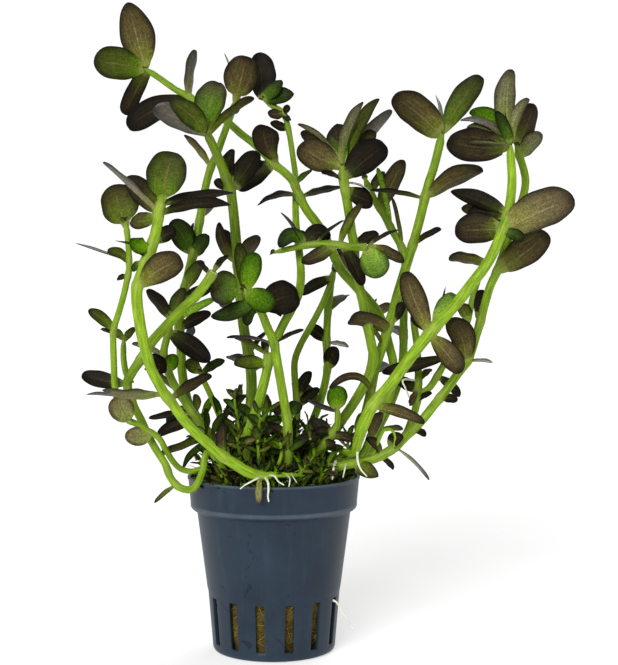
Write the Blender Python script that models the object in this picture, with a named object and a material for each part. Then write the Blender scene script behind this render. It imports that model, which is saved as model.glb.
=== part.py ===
"""A bunch of Bacopa salzmannii in a slotted net pot, in metres, +Z up, standing on z = 0.

The plant is laid out in millimetres as it shows from the front. A point is given across and up on the
upright plane through the pot's axis, then carried along the line of sight to its depth behind that
plane. A negative depth is nearer to the viewer.
"""
import math
from typing import NamedTuple

import bmesh
import bpy
from mathutils import Matrix, Vector

MM = 0.001
GAP = 0.35

# The eye that the front view is drawn from
EYE_ACROSS = 11.0
EYE_UP = 126.0
EYE_DISTANCE = 490.0

# The net pot
POT_HEIGHT = 54.8
RIM_RADIUS = 27.0
RIM_FOOT_RADIUS = 26.0
RIM_FOOT_HEIGHT = 45.5
BODY_TOP_RADIUS = 24.1
BODY_TOP_HEIGHT = 44.1
WAIST_RADIUS = 20.9
WAIST_HEIGHT = 19.6
BASE_RADIUS = 19.2
BASE_CORNER = 1.2
WALL = 1.0
FLOOR_THICKNESS = 1.3
RIM_STEP_REACH = 1.2
RIM_STEP_RISE = 0.3
INNER_STEP_RISE = 0.6
POT_SIDES = 28

SLOTS = 14
SLOT_WIDTH = 2.8
SLOT_BOTTOM = 3.0
SLOT_TOP = 17.7
SLOT_CUT_DEPTH = 12.0
FLOOR_SLOTS = 7
FLOOR_SLOT_WIDTH = 2.4
FLOOR_SLOT_START = 8.5
FLOOR_SLOT_END = 15.5
FLOOR_SLOT_CUT_HEIGHT = 5.2

# The mineral wool plug
PLUG_TOP = 52.0
PLUG_CHAMFER = 1.0
PLUG_FOOT_RADIUS = 17.45
PLUG_SIDES = 18

# The low tangle of small leaves and moss that covers the plug, by its radius and height
TANGLE = [(23.9, 52.9), (22.6, 54.4), (18.5, 56.9), (12.0, 58.6), (5.0, 59.4)]
TANGLE_TOP = 59.6
TANGLE_FOOT_RADIUS = 23.3
TANGLE_SIDES = 16

# Stems and blades
STEM_SIDES = 6
THIN_STEM_SIDES = 5
THIN_STEM_WIDTH = 2.45
STEM_STEP = 9.5
FINE_SAMPLES = 12
STEM_TIP_TAPER = 0.55
BLADE_THICKNESS = 0.7
BLADE_END_THICKNESS_SHARE = 0.45
BLADE_WIDEST = 0.58
BLADE_BASE_SHARE = 0.38
BLADE_CUP = 0.22
BLADE_ARCH = 0.05
LARGE_BLADE_CLEARANCE = 0.5
LEAST_CROSSING = 0.55
SMALL_BLADE_SINK_SHARE = 0.3
LARGE_BLADE_STATIONS = (0.0, 0.2, 0.42, 0.64, 0.84, 0.96)
SMALL_BLADE_STATIONS = (0.0, 0.42, 0.82)
TIDY_ANGLE = 6
ROOT_SIDES = 3
ROOT_STEP = 4.0
ROOT_TAPER = 0.5


class Stem(NamedTuple):
    """A stem by its route from the front, its depth and width at even steps along the route's points.

    A stem with a foot rises from that place on the tangle. One without grows from another stem, and
    starts the trim distance along its route, clear of it.
    """

    name: str
    route: list
    depth: tuple
    width: tuple
    foot: tuple = None
    trim: float = 0.0
    step: float = STEM_STEP


class Leaf(NamedTuple):
    """A blade from its place on the stem to its tip, both as they show from the front.

    Roll 0 shows the upper side, 90 is edge on with the upper side up, and 180 shows the underside.
    Lean is how far the tip lies behind its base, bow how far the midrib swings to its left, and ahead
    how far the whole blade stands in front of its stem. A blade with a name is a node of its own. Any
    other is fused to its stem.
    """

    base: tuple
    tip: tuple
    width: float
    roll: float
    lean: float = 0.0
    bow: float = 0.0
    tone: str = "dark"
    name: str = ""
    ahead: float = 0.0


class Root(NamedTuple):
    """A thin white root from the front. Past its first point it lies lean behind its stem."""

    route: list
    lean: float = 0.0
    width: float = 0.9


STEMS = [
    Stem(
        "stem_front_arch",
        [(5, 54.6), (0, 54.6), (-4, 54.4), (-8, 55.5), (-12, 58), (-15.5, 60.2), (-20, 64), (-25, 68.5),
         (-28.5, 72.5), (-32, 77.5), (-34, 80), (-36, 83.5), (-38.3, 88), (-40, 94), (-41.2, 99),
         (-42, 104), (-42.6, 109), (-42.5, 113.5), (-40.5, 119.5), (-38.2, 125.5), (-36.8, 130),
         (-36, 134), (-35.7, 136.8), (-34.6, 141.5)],
        depth=(-22, -25, -28, -31, -35, -38, -38, -35, -31),
        width=(1.3, 3.3, 3.1, 3.0, 3.0, 3.3, 3.3, 3.2, 3.0),
        foot=(10.0, -17.0),
    ),
    Stem(
        "stem_left_loop",
        [(-20.5, 62), (-22.5, 55.5), (-24.3, 51.5), (-26.7, 50), (-30, 51), (-32.5, 54), (-34, 58),
         (-36.5, 62), (-39, 66.5), (-41.5, 72), (-44, 77), (-45.8, 83), (-44.5, 86.5), (-41.5, 91),
         (-38, 96.5), (-33, 102), (-28, 107.2), (-24, 111), (-20.5, 115.5), (-18.7, 118.3)],
        depth=(-16, -19, -16, -13, -10, -9, -14, -25, -31, -33),
        width=(2.0, 2.2, 2.2, 2.3, 2.5, 2.8, 3.0, 2.9, 2.7),
        foot=(-14.0, -14.0),
        step=5.0,
    ),
    Stem(
        "stem_left_thin",
        [(-22, 56.8), (-25.5, 55.8), (-29, 56.5), (-31.5, 58.8), (-33.8, 62.5), (-36, 66.3), (-40, 69),
         (-43.5, 71), (-45.5, 72), (-48.3, 76.5), (-49.6, 82), (-50, 92), (-50.1, 98), (-49.8, 101),
         (-48.5, 105), (-47, 110), (-45.8, 115), (-45, 119.5), (-45.2, 127), (-46, 134)],
        depth=(-8, -9, -13, -16, -19, -21, -23, -24, -24),
        width=(1.7, 1.8, 1.8, 2.0, 1.9, 1.8, 1.7),
        foot=(-17.5, -7.0),
        step=6.5,
    ),
    Stem(
        "stem_centre_dark",
        [(-9, 63), (-8, 70), (-7, 80), (-7.2, 88), (-8.5, 96), (-9.5, 102), (-10.5, 112), (-11.2, 122),
         (-12, 132), (-12.7, 139), (-13.5, 144), (-15.5, 149.5), (-17.5, 154.5), (-19.3, 158.5),
         (-21, 161.8)],
        depth=(-1, -1, -2, -4, -8, -12, -15),
        width=(3.4, 3.3, 3.1, 2.9, 2.6),
        foot=(-6.0, -1.0),
    ),
    Stem(
        "stem_centre_back",
        [(-20, 63), (-25, 72), (-27.5, 80), (-28.7, 88), (-29, 96), (-29.5, 103), (-28.5, 110),
         (-26.5, 118), (-24.3, 127), (-23, 134), (-22, 140), (-20.8, 146), (-19.3, 151), (-17.5, 155),
         (-15.5, 160.5), (-13.5, 166), (-11.5, 171.5)],
        depth=(10, 11, 12, 14, 16, 19, 21),
        width=(3.0, 2.9, 2.7, 2.4, 2.2),
        foot=(-13.0, 12.0),
    ),
    Stem(
        "stem_fork_left",
        [(4.5, 60), (4.2, 71), (3, 79), (1.8, 86), (0.6, 93), (0, 96.5), (-2, 101), (-4, 106),
         (-7, 110.5), (-9.5, 112.8)],
        depth=(-14, -15, -16, -18, -22, -26),
        width=(2.8, 2.8, 2.8, 2.6, 2.2),
        foot=(4.0, -12.5),
    ),
    Stem(
        "stem_fork_right",
        [(0.6, 96.8), (3, 102), (6.3, 108), (8, 112.5), (8.5, 118), (7.8, 126), (7, 133), (6.8, 141),
         (6.9, 147), (6, 154), (4.9, 161), (3.3, 167), (0.3, 169.3), (-3, 171.8)],
        depth=(-18, -16, -10, -2, 8, 16, 20, 23),
        width=(2.6, 2.6, 2.3, 1.8, 1.8, 2.2),
        trim=2.6,
    ),
    Stem(
        "stem_front_short",
        [(-8.5, 66), (-7, 71), (-5.2, 76), (-3.8, 81), (-2.5, 86), (-1.7, 90.5), (-1.8, 93)],
        depth=(-12, -13, -13, -12),
        width=(3.0, 3.0, 2.7),
        foot=(-7.5, -11.0),
    ),
    Stem(
        "stem_middle_thin",
        [(6, 62), (7, 70), (7.3, 76), (6.7, 83), (6.5, 90), (8, 94.8), (10.5, 99.5), (13, 104),
         (15.5, 109), (17.5, 114), (19, 118.5)],
        depth=(5, 6, 8, 10),
        width=(2.2, 2.2, 2.0),
        foot=(4.5, 5.0),
    ),
    Stem(
        "stem_middle_back",
        [(8, 63), (10, 67.5), (12.5, 72.5), (14.5, 78), (16, 83.5), (16.8, 89), (16.5, 95),
         (16.7, 103), (17.3, 110), (18, 116), (18.8, 119)],
        depth=(14, 15, 15, 16),
        width=(2.6, 2.4, 2.2),
        foot=(6.5, 14.0),
    ),
    Stem(
        "shoot_level",
        [(29, 126), (24, 126), (20.5, 126.7), (15, 127), (10, 126.5), (5, 125.5), (0, 124.3)],
        depth=(-14, -14, -13, -10),
        width=(2.2, 2.1, 1.5),
        step=4.5,
    ),
    Stem(
        "stem_middle_tall",
        [(15, 63), (18, 67), (21, 71.5), (24.5, 76.5), (27.5, 81.5), (30, 86.5), (31.3, 91),
         (30.5, 95.5), (29.5, 100.5), (28.2, 107), (26.7, 113.5), (25.5, 120), (25, 126.5), (24.2, 131),
         (23.5, 136), (22.6, 141.5), (21.8, 146.5), (21.3, 151.3)],
        depth=(-5, -6, -8, -9, -9, -12, -15),
        width=(3.0, 3.0, 2.9, 2.8),
        foot=(9.5, -4.5),
    ),
    Stem(
        "stem_long_diagonal",
        [(27.5, 61), (30.5, 67), (33.5, 73), (36, 79), (37.3, 84), (37.3, 90), (35.8, 96), (34.3, 101.5),
         (32, 106.3), (29, 110), (25, 114.5), (21, 119), (18, 125), (15, 131), (13, 134), (10, 138),
         (7.5, 143), (6, 146.5), (3, 149.5), (0.5, 151.5), (-5.5, 157.5), (-10, 161), (-14, 164.5),
         (-20, 168.5), (-26, 172.5), (-30, 174.5), (-35, 178), (-39.5, 181)],
        depth=(3, 3, 3, 3, 6, 4, 1, 3, 8, 12),
        width=(2.6, 2.8, 3.2, 3.0, 2.6, 2.2, 1.9),
        foot=(21.0, 4.0),
    ),
    Stem(
        "stem_right_back",
        [(28.5, 61.5), (31, 66), (33.5, 71), (36, 76), (38, 81), (39.5, 86), (40.3, 91), (40.5, 97),
         (40.5, 104), (40.7, 112), (41, 120), (40, 125.5), (37, 131), (34, 136.5), (30.5, 142),
         (28.3, 147.5)],
        depth=(9, 10, 12, 16, 19),
        width=(2.8, 2.8, 2.6, 2.4),
        foot=(16.8, 9.0),
    ),
    Stem(
        "stem_right_tall",
        [(24, 62), (27, 68), (29, 75), (30.3, 81), (31.3, 86.5), (32.7, 91.5), (34.2, 96), (35.5, 100.5),
         (37, 105.5), (38.5, 111), (40.3, 117), (42, 122.5), (43.8, 128.5), (45.3, 134), (46.5, 139),
         (47, 141.5), (48.2, 146), (49.8, 151), (51.2, 156.5), (52.2, 161)],
        depth=(-1, -2, -3, -2, 0, 3),
        width=(3.0, 3.0, 2.8, 2.6),
        foot=(17.0, -1.5),
    ),
    Stem(
        "stem_right_front",
        [(19.5, 62.5), (24.8, 61.5), (26.5, 66), (28, 70.5), (30, 75), (32, 78), (36, 82.5), (40, 88),
         (44.5, 94), (48.5, 99), (52, 103), (57, 108.5), (62, 115), (66.5, 121), (69.5, 127),
         (71.8, 133), (73, 137), (73.7, 142), (74, 147), (73.7, 152), (73.3, 157.5)],
        depth=(-5, -19, -21, -22, -22, -22, -21, -20, -19),
        width=(1.4, 3.6, 3.5, 3.4, 3.4, 3.2, 3.0, 2.7, 2.4),
        foot=(16.0, -6.0),
    ),
    Stem(
        "stem_right_low",
        [(19, 57), (25, 58.5), (30, 59.5), (34, 61), (38, 63.5), (42, 67.5), (46, 71.5), (50, 76.5),
         (54, 81.5), (57.5, 86.5), (60.5, 90.5), (61.5, 93), (63, 98), (64.5, 103), (66, 109),
         (67.5, 114), (69.5, 118.5), (72.5, 127), (74, 132), (75.5, 137), (77.3, 141), (78.2, 146),
         (77.6, 150), (76.3, 154), (75.3, 157.5)],
        depth=(-9, -9, -8, -6, -4, -2, 0, 1, 1),
        width=(2.8, 2.8, 2.8, 2.7, 2.6, 2.4),
        foot=(13.0, -8.5),
    ),
    Stem(
        "stem_right_inner",
        [(38.2, 63.8), (41.3, 67.5), (43, 71.5), (44.3, 75.5), (45, 79.5), (45.2, 84), (45, 90),
         (44.6, 96), (43.9, 101), (43.3, 106)],
        depth=(-5, 0, 6, 10),
        width=(2.4, 2.4, 2.2),
        trim=2.6,
    ),
    Stem(
        "stem_right_branch",
        [(45, 79.8), (48.5, 82), (51.5, 86.5), (54, 91), (57.5, 97), (60.5, 103.5), (62, 110),
         (64, 117), (66, 121)],
        depth=(2, 3, 5, 8),
        width=(2.2, 2.2, 2.0),
        trim=2.6,
    ),
    Stem(
        "shoot_base",
        [(11.5, 60), (15, 64), (18, 67.3), (19.6, 69.5), (20, 73), (19.8, 76.5)],
        depth=(-11, -12, -12),
        width=(2.4, 2.2, 1.6),
        foot=(9.0, -9.5),
        step=4.5,
    ),
    Stem(
        "stem_left_short",
        [(-10, 61), (-12, 65), (-15.5, 71), (-17.3, 74), (-18.7, 77.5), (-20.3, 81), (-22, 84.5),
         (-23, 87)],
        depth=(5, 4, 3),
        width=(2.0, 2.0, 1.8),
        foot=(-9.0, 5.5),
    ),
    Stem(
        "stem_left_back",
        [(-15, 62), (-22, 70), (-28, 78), (-32, 85), (-34.3, 92), (-33.3, 98), (-32, 103.5)],
        depth=(-3, -4, -5, -5),
        width=(2.4, 2.4, 2.2),
        foot=(-13.0, -4.0),
    ),
    Stem(
        "stem_rear_left",
        [(-8.5, 62), (-8, 70), (-7.2, 80), (-7.4, 90), (-9, 100), (-10.3, 111), (-11, 121)],
        depth=(16, 19, 23, 27),
        width=(2.4, 2.3, 2.0),
        foot=(-6.0, 17.0),
    ),
    Stem(
        "stem_rear_middle",
        [(16, 63), (20.5, 70), (24.5, 76), (28, 82), (30, 88), (30.5, 96), (28.8, 104), (27, 112),
         (25.7, 119)],
        depth=(17, 20, 24, 27),
        width=(2.4, 2.3, 2.0),
        foot=(13.0, 16.5),
    ),
]

LEAVES = {
    "stem_front_arch": [
        Leaf((-16, 61), (-15, 71), 4.0, 125, 1, tone="brown"),
        Leaf((-34, 79.5), (-53, 81.7), 7.0, 118, -5, 1.5, "olive", "leaf_arch_low"),
        Leaf((-31.5, 77.5), (-19.2, 86), 5.0, 112, 4, 0, "olive"),
        Leaf((-42, 114), (-28.5, 122), 8.7, 170, -6, 0.8, "brown", "leaf_arch_middle", 0.7),
        Leaf((-42.5, 113.5), (-42.6, 124), 3.0, 60, 3, 0, "dark"),
        Leaf((-36, 136.5), (-53, 152.3), 6.0, 112, 3, 0.8, "grey"),
        Leaf((-35.5, 137), (-13.7, 139.7), 6.0, 66, -2, 0.5, "dark"),
        Leaf((-34.6, 140.5), (-12.8, 143.8), 6.0, 62, 7, -0.8, "dark"),
        Leaf((-34.3, 141.8), (-31, 155.8), 12.0, 8, 2, 0.6, "green", "leaf_arch_top"),
        Leaf((-35.4, 139), (-45, 148.5), 7.5, 160, 7, 0, "brown"),
        Leaf((-38, 126), (-42.8, 129.5), 4.5, 20, -1, 0, "bright"),
        Leaf((-37.8, 126.5), (-40.5, 134.5), 4.5, 30, 2, 0, "bright"),
        Leaf((-37.5, 127.5), (-30.3, 131.5), 5.0, 150, 2, 0, "dark"),
    ],
    "stem_left_loop": [
        Leaf((-31, 51.5), (-37.5, 45.8), 2.0, 40, -2, 0, "green"),
        Leaf((-33, 56), (-31.5, 52), 2.0, 60, 0, 0, "green"),
        Leaf((-45.8, 83), (-60, 86.3), 5.4, 20, 2, 0.5, "dark", "leaf_loop_left"),
        Leaf((-44.5, 78.5), (-58.5, 80), 3.0, 72, 2, 0, "grey"),
        Leaf((-41.7, 91), (-36.3, 87.5), 5.5, 25, -2, 0, "dark"),
        Leaf((-19.2, 118), (-14, 123.5), 4.0, 120, -1, 0, "dark"),
        Leaf((-19.5, 117), (-24, 121), 4.0, 120, 1, 0, "dark"),
        Leaf((-46, 84), (-47.3, 97.5), 2.2, 30, 1, 0.3, "green"),
        Leaf((-47.2, 96.8), (-42.3, 101), 2.8, 130, 1, 0, "olive"),
    ],
    "stem_left_thin": [
        Leaf((-45.7, 72.3), (-49.6, 78.5), 6.6, 12, -3, 0, "pale"),
        Leaf((-43.6, 71.2), (-40.3, 64.5), 6.6, 15, -3, 0, "pale"),
        Leaf((-49.8, 100.5), (-57.8, 106.5), 4.2, 35, -2, 0, "green"),
        Leaf((-50, 99), (-54, 100.5), 2.4, 60, 1, 0, "dark"),
        Leaf((-45, 120), (-53, 124.8), 4.5, 40, -2, -0.8, "green"),
        Leaf((-45.2, 121.5), (-61.5, 127.2), 2.6, 76, 2, 0.8, "grey"),
        Leaf((-45.6, 117), (-48.8, 116), 2.4, 40, 1, 0, "dark"),
        Leaf((-46, 134), (-49.2, 145.2), 10.6, 165, 2, 0.5, "olive", "leaf_thin_top"),
    ],
    "stem_centre_dark": [
        Leaf((-20.8, 161), (-37, 168.7), 6.2, 150, 2, 0.8, "brown", "leaf_dark_left", 2.5),
        Leaf((-20.8, 161.2), (-31, 170.5), 6.0, 30, 5, 0.5, "olive"),
        Leaf((-21, 161.8), (-16.8, 176.7), 8.0, 18, 4, 0.5, "green", "leaf_dark_top"),
        Leaf((-20.3, 160.5), (-6, 172.2), 5.0, 72, -3, 0, "dark"),
        Leaf((-13.3, 143.5), (-18.5, 146.5), 3.6, 30, -1, 0, "dark"),
        Leaf((-13.5, 144), (-5.5, 155.7), 6.0, 160, -2, 0, "dark"),
        Leaf((-11.2, 122), (-16.8, 134), 4.6, 155, -3, 0, "brown"),
        Leaf((-11.2, 121), (-6.5, 128.5), 4.8, 25, -4, 0, "green"),
        Leaf((-7.8, 92), (-2.2, 99.5), 3.6, 120, 4, 0, "dark"),
    ],
    "stem_centre_back": [
        Leaf((-19.5, 150.5), (-27.8, 160.7), 4.0, 130, 1, 0, "brown"),
        Leaf((-11.5, 171.5), (-10, 185), 9.8, 168, -1, 0, "olive", "leaf_back_top"),
        Leaf((-13, 167), (-2.8, 171.2), 4.0, 120, -1, 0, "dark"),
        Leaf((-25, 124), (-31, 134.8), 6.4, 15, -3, 0, "green"),
        Leaf((-25.3, 123), (-21, 131), 5.6, 20, -5, 0, "dark"),
        Leaf((-28, 113), (-21.6, 121.5), 5.6, 30, -5, 0, "green"),
        Leaf((-29.3, 103.5), (-18, 110), 3.0, 30, -4, 0, "stemmy"),
        Leaf((-29.2, 101), (-19.5, 105.5), 4.4, 25, -5, 0, "dark"),
        Leaf((-28.6, 109.5), (-19, 113.5), 4.6, 20, -3, 0, "dark"),
        Leaf((-22, 140), (-30, 139), 5.0, 120, 8, 0, "brown"),
        Leaf((-29, 96), (-24.5, 99.5), 7.0, 110, 12, 0, "dark"),
        Leaf((-23, 134), (-18.5, 138.5), 7.0, 110, 12, 0, "brown"),
        Leaf((-26.5, 76), (-33.5, 70.5), 5.4, 40, 4, 0, "dark"),
    ],
    "stem_fork_left": [
        Leaf((0.2, 95.8), (-14.8, 97.8), 3.0, 74, -2, 0, "dark"),
        Leaf((0.4, 96), (9.5, 100.2), 3.0, 66, -2, 0, "dark"),
        Leaf((-8.5, 112), (-5.3, 124.3), 6.6, 10, 3, 0, "bright", "leaf_rosette_up", 0.2),
        Leaf((-8, 111.5), (-0.5, 107.3), 6.5, 10, -2, 0, "bright"),
        Leaf((-9.3, 112.6), (-19.7, 113.8), 9.0, 8, 1, 0, "green", "leaf_rosette_left", 1.2),
        Leaf((-5, 107.5), (7.6, 111.5), 10.6, 14, 5, 0, "dark", "leaf_rosette_right"),
        Leaf((-7, 110.5), (-9.7, 101), 11.0, 12, 3, 0, "dark"),
        Leaf((-9, 112.5), (-17, 121.3), 6.0, 12, 6, 0, "bright", ahead=-1.2),
        Leaf((4, 74), (7.8, 76.5), 4.0, 30, 1, 0, "dark"),
        Leaf((4.4, 63.5), (-4.6, 66.8), 4.0, 40, -2, 0.5, "green"),
        Leaf((4.4, 63.5), (14.2, 66.2), 4.0, 40, -2, 0.5, "dark"),
        Leaf((4.3, 68), (-3, 71), 3.6, 50, 2, 0.5, "dark"),
    ],
    "stem_fork_right": [
        Leaf((3.5, 166.5), (-3, 164), 3.6, 60, -2, 0, "dark"),
        Leaf((3, 167.2), (4.6, 170.2), 3.0, 30, -2, 0, "dark"),
        Leaf((4.3, 164), (8.4, 164.8), 2.4, 60, 2, 0, "dark"),
        Leaf((-2.8, 171.7), (-1.2, 185.6), 7.6, 162, 2, 0, "dark", "leaf_fork_top", 0.5),
        Leaf((-2.4, 171.3), (6.4, 174), 5.4, 40, 5, 0.4, "dark"),
    ],
    "stem_front_short": [
        Leaf((-1.9, 92), (-12.3, 97.8), 4.0, 120, -2, 0, "olive"),
        Leaf((-1.9, 92.8), (-3.8, 97), 3.0, 40, -2, 0, "dark"),
        Leaf((-2, 89.5), (-12.5, 89.5), 5.4, 38, -3, 0, "green"),
        Leaf((-6.5, 72.5), (-11.5, 76.5), 3.8, 40, -2, 0, "green"),
    ],
    "stem_middle_thin": [
        Leaf((7, 79), (11.6, 87.3), 4.4, 30, 1, 0, "dark"),
        Leaf((7.3, 76), (14.2, 82), 4.0, 35, 3, 0, "dark"),
        Leaf((18.4, 116.6), (8.3, 111.2), 4.6, 35, -1, 0, "dark"),
        Leaf((19, 118.5), (21.5, 124.5), 4.0, 110, 2, 0, "dark"),
    ],
    "stem_middle_back": [
        Leaf((16.7, 88), (19.5, 95), 5.4, 15, -3, 0, "dark"),
        Leaf((16.4, 97), (10.4, 101.5), 4.6, 25, -2, 0, "dark"),
        Leaf((16.4, 96), (23.4, 94.8), 4.0, 70, -2, 0, "grey"),
        Leaf((14, 77), (6, 84), 5.0, 40, 8, 0, "green"),
        Leaf((17, 106), (22.5, 111), 7.0, 60, 12, 0, "olive"),
    ],
    "shoot_level": [
        Leaf((20.5, 126.7), (27.5, 139.7), 4.2, 130, -2, 0, "olive"),
        Leaf((21.5, 126.4), (27.7, 114), 5.0, 30, -2, 0, "dark"),
        Leaf((28.5, 126), (33.2, 116.5), 9.0, 12, -3, 0, "green", "leaf_level_round"),
        Leaf((9.5, 126.6), (4.2, 133.6), 5.6, 20, -2, 0, "green"),
        Leaf((10.5, 126.6), (14.6, 133.6), 6.0, 20, -1, 0, "dark"),
        Leaf((9, 126.5), (2.2, 136.8), 3.0, 70, 2, 0, "dark"),
        Leaf((13, 127), (22, 134.3), 3.0, 70, 1, 0, "dark"),
        Leaf((28.8, 126), (40.7, 121.3), 5.4, 135, -1, 0, "brown"),
        Leaf((28.8, 126.2), (38.8, 131.3), 3.6, 68, 1, 0, "dark"),
    ],
    "stem_middle_tall": [
        Leaf((21.4, 150.5), (8.2, 158.3), 8.0, 160, -2, 0.6, "brown", "leaf_tall_left"),
        Leaf((21.6, 148.5), (7.5, 163), 5.0, 150, 6, -0.6, "brown"),
        Leaf((21.3, 151), (28.2, 171), 6.0, 120, 0, 0.5, "grey"),
        Leaf((21.6, 150), (33.2, 172.2), 6.0, 30, 6, 0.6, "green"),
        Leaf((21.8, 149), (36.8, 168.5), 5.6, 130, 9, 0, "dark"),
        Leaf((21.6, 147.5), (34.8, 158), 9.6, 155, -3, 0, "dark", "leaf_tall_right", 0.9),
        Leaf((21.8, 147), (14.8, 149), 3.6, 60, -3, 0, "dark"),
        Leaf((22.6, 141.5), (29, 145.5), 5.0, 40, -3, 0, "dark"),
        Leaf((29.4, 101), (33.5, 105.5), 6.4, 60, -10, 0, "brown"),
        Leaf((25, 125.5), (32.5, 130.5), 5.0, 40, 2, 0, "dark"),
    ],
    "stem_long_diagonal": [
        Leaf((7.8, 142.6), (-5.2, 138.6), 4.0, 70, -3, 0.6, "dark"),
        Leaf((8, 142), (20.7, 145.9), 4.0, 72, 2, 0, "dark"),
        Leaf((6.6, 145), (12, 150), 2.6, 60, 3, 0, "dark"),
        Leaf((0.5, 151.5), (-2.8, 164), 8.3, 165, -3, 0, "brown", "leaf_diagonal_middle", 1.8),
        Leaf((0, 152), (-11.3, 144), 6.0, 25, 2, 0, "dark"),
        Leaf((-26, 172.5), (-45, 162.8), 8.6, 12, 4, -0.8, "dark", "leaf_diagonal_low", -1.7),
        Leaf((-26.2, 172.8), (-24, 187), 6.0, 112, 4, 0, "grey"),
        Leaf((-39.5, 181), (-45, 201.4), 11.0, 170, -2, 0.8, "brown", "leaf_diagonal_top"),
        Leaf((-39.6, 181), (-56, 183.6), 10.0, 10, -6, 0, "green", "leaf_diagonal_left"),
        Leaf((-39, 180.6), (-46, 166.3), 4.8, 150, 5, 0, "brown"),
    ],
    "stem_right_back": [
        Leaf((40, 125.4), (36.7, 141.5), 2.4, 20, 1, 0.2, "stemmy"),
        Leaf((37, 140.5), (40.5, 153.2), 5.6, 160, 1, 0, "brown"),
        Leaf((30.3, 142.3), (34.5, 150.5), 5.4, 40, 3, 0, "green"),
        Leaf((32.6, 68.5), (40.5, 69), 4.4, 120, 2, 0, "olive"),
        Leaf((41, 119), (46, 121.5), 7.0, 110, 12, 0, "brown"),
        Leaf((40.5, 98), (36, 101), 7.0, 60, 12, 0, "dark"),
    ],
    "stem_right_tall": [
        Leaf((35.6, 100.5), (23.6, 103.7), 5.0, 135, -3, 0, "brown"),
        Leaf((36, 102), (40.9, 108.6), 4.6, 25, -2, 0, "dark"),
        Leaf((47, 141.5), (65.2, 150.8), 6.2, 132, -2, 0.5, "brown", "leaf_right_middle", 0.5),
        Leaf((47, 141), (29.3, 143.5), 4.0, 73, -2, 0.5, "dark"),
        Leaf((52, 160.5), (37.2, 173.3), 9.5, 158, -2, 0.8, "brown", "leaf_right_top_left"),
        Leaf((52.2, 161), (64.2, 178.5), 6.8, 22, 2, -0.5, "green", "leaf_right_top"),
        Leaf((52, 160.5), (51.2, 173), 4.0, 60, 4, 0, "olive"),
        Leaf((43.6, 127.5), (52, 132), 3.0, 66, -2, 0, "dark"),
        Leaf((26, 66), (27.6, 74.3), 3.4, 40, -2, 0, "bright"),
    ],
    "stem_right_front": [
        Leaf((32, 78), (25.5, 86.6), 4.2, 60, -2, -1.6, "dark"),
        Leaf((31, 76.5), (47.2, 71), 5.2, 140, -3, 0, "brown"),
        Leaf((26.8, 67), (33.7, 74.8), 4.2, 150, -3, 0, "brown"),
        Leaf((48.5, 99), (41, 118.4), 7.2, 165, -2, 0.6, "brown", "leaf_front_middle", 0.5),
        Leaf((50, 101), (56.8, 111.5), 5.2, 20, -2, 0, "green"),
        Leaf((48.7, 99.4), (43.2, 104.6), 4.6, 30, 4, 0, "dark"),
        Leaf((48.8, 99), (58.8, 87), 7.0, 160, -5, 0, "brown", "leaf_front_hanging", 0.5),
        Leaf((71.5, 131.5), (93.5, 141.2), 9.6, 162, -3, 0.8, "brown", "leaf_front_right", 0.7),
        Leaf((71, 131), (56.3, 130.5), 9.6, 158, 1, 0, "dark", "leaf_front_left", 0.0),
        Leaf((72.9, 137), (55.3, 143.6), 5.4, 150, 3, -0.5, "dark"),
        Leaf((71.5, 132), (58, 140), 4.6, 30, 9, 0, "olive", ahead=-1.0),
        Leaf((71, 130), (77.4, 127), 3.6, 30, -2, 0, "dark"),
        Leaf((73.3, 157), (54, 158.8), 10.0, 155, -2, 0, "dark", "leaf_cluster_left", 0.6),
        Leaf((73.3, 157.5), (74.5, 181), 7.0, 150, 2, 0.8, "olive", "leaf_cluster_top"),
        Leaf((73.3, 157), (57.5, 167), 6.0, 110, 4, 0.6, "green"),
        Leaf((73.3, 157.3), (67.8, 168.5), 5.0, 25, 2, 0, "green", ahead=-1.0),
    ],
    "stem_right_low": [
        Leaf((38, 63.5), (48.7, 53), 2.6, 70, -2, 0, "grey"),
        Leaf((38, 63.7), (34.5, 70.5), 4.0, 40, -3, -1.2, "dark"),
        Leaf((30, 59.5), (32.6, 54), 3.2, 40, -3, 0, "olive"),
        Leaf((44, 69.5), (47.6, 67), 2.6, 40, -1, 0, "dark"),
        Leaf((60.5, 90.5), (54.3, 103.3), 8.4, 158, -2, -1.4, "brown", "leaf_low_middle", 2.4),
        Leaf((60.6, 90.5), (68.4, 90), 3.0, 72, -2, 0, "grey"),
        Leaf((65, 104), (66, 113), 8.0, 160, 4, 0, "dark"),
        Leaf((69.5, 118.5), (84.8, 130.8), 8.6, 160, -2, -0.6, "brown", "leaf_low_right", 1.1),
        Leaf((75.2, 156.5), (83.8, 160), 6.2, 150, 3, 0, "grey"),
        Leaf((75.3, 157), (80, 171.5), 7.0, 140, 6, 0, "brown"),
        Leaf((52, 79), (57.5, 78), 3.6, 40, -2, 0, "dark"),
        Leaf((21, 58), (18, 53.6), 2.4, 40, -6, 0, "pale"),
    ],
    "stem_right_inner": [
        Leaf((44.8, 78), (49.5, 80.3), 3.2, 60, -3, 0, "dark"),
        Leaf((45, 81), (38.8, 84.5), 4.2, 30, 2, 0, "dark"),
        Leaf((45.2, 84), (49.3, 88), 3.6, 60, 2, 0, "olive"),
        Leaf((43.4, 105.5), (47.5, 102.5), 3.6, 40, -2, 0, "dark"),
        Leaf((43.3, 105.8), (40.3, 110.5), 3.2, 120, -1, 0, "dark"),
    ],
    "stem_right_branch": [
        Leaf((66, 121), (54.5, 122.9), 5.0, 118, 1, 0, "brown"),
        Leaf((54.5, 92), (33.8, 86.8), 5.0, 42, -2, 0.8, "dark", "leaf_branch_left", 2.0),
        Leaf((51, 86), (58.3, 79.5), 4.0, 40, 3, 0, "dark"),
        Leaf((60.3, 103), (58.5, 108.5), 4.6, 150, -2, 0, "olive"),
    ],
    "shoot_base": [
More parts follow.
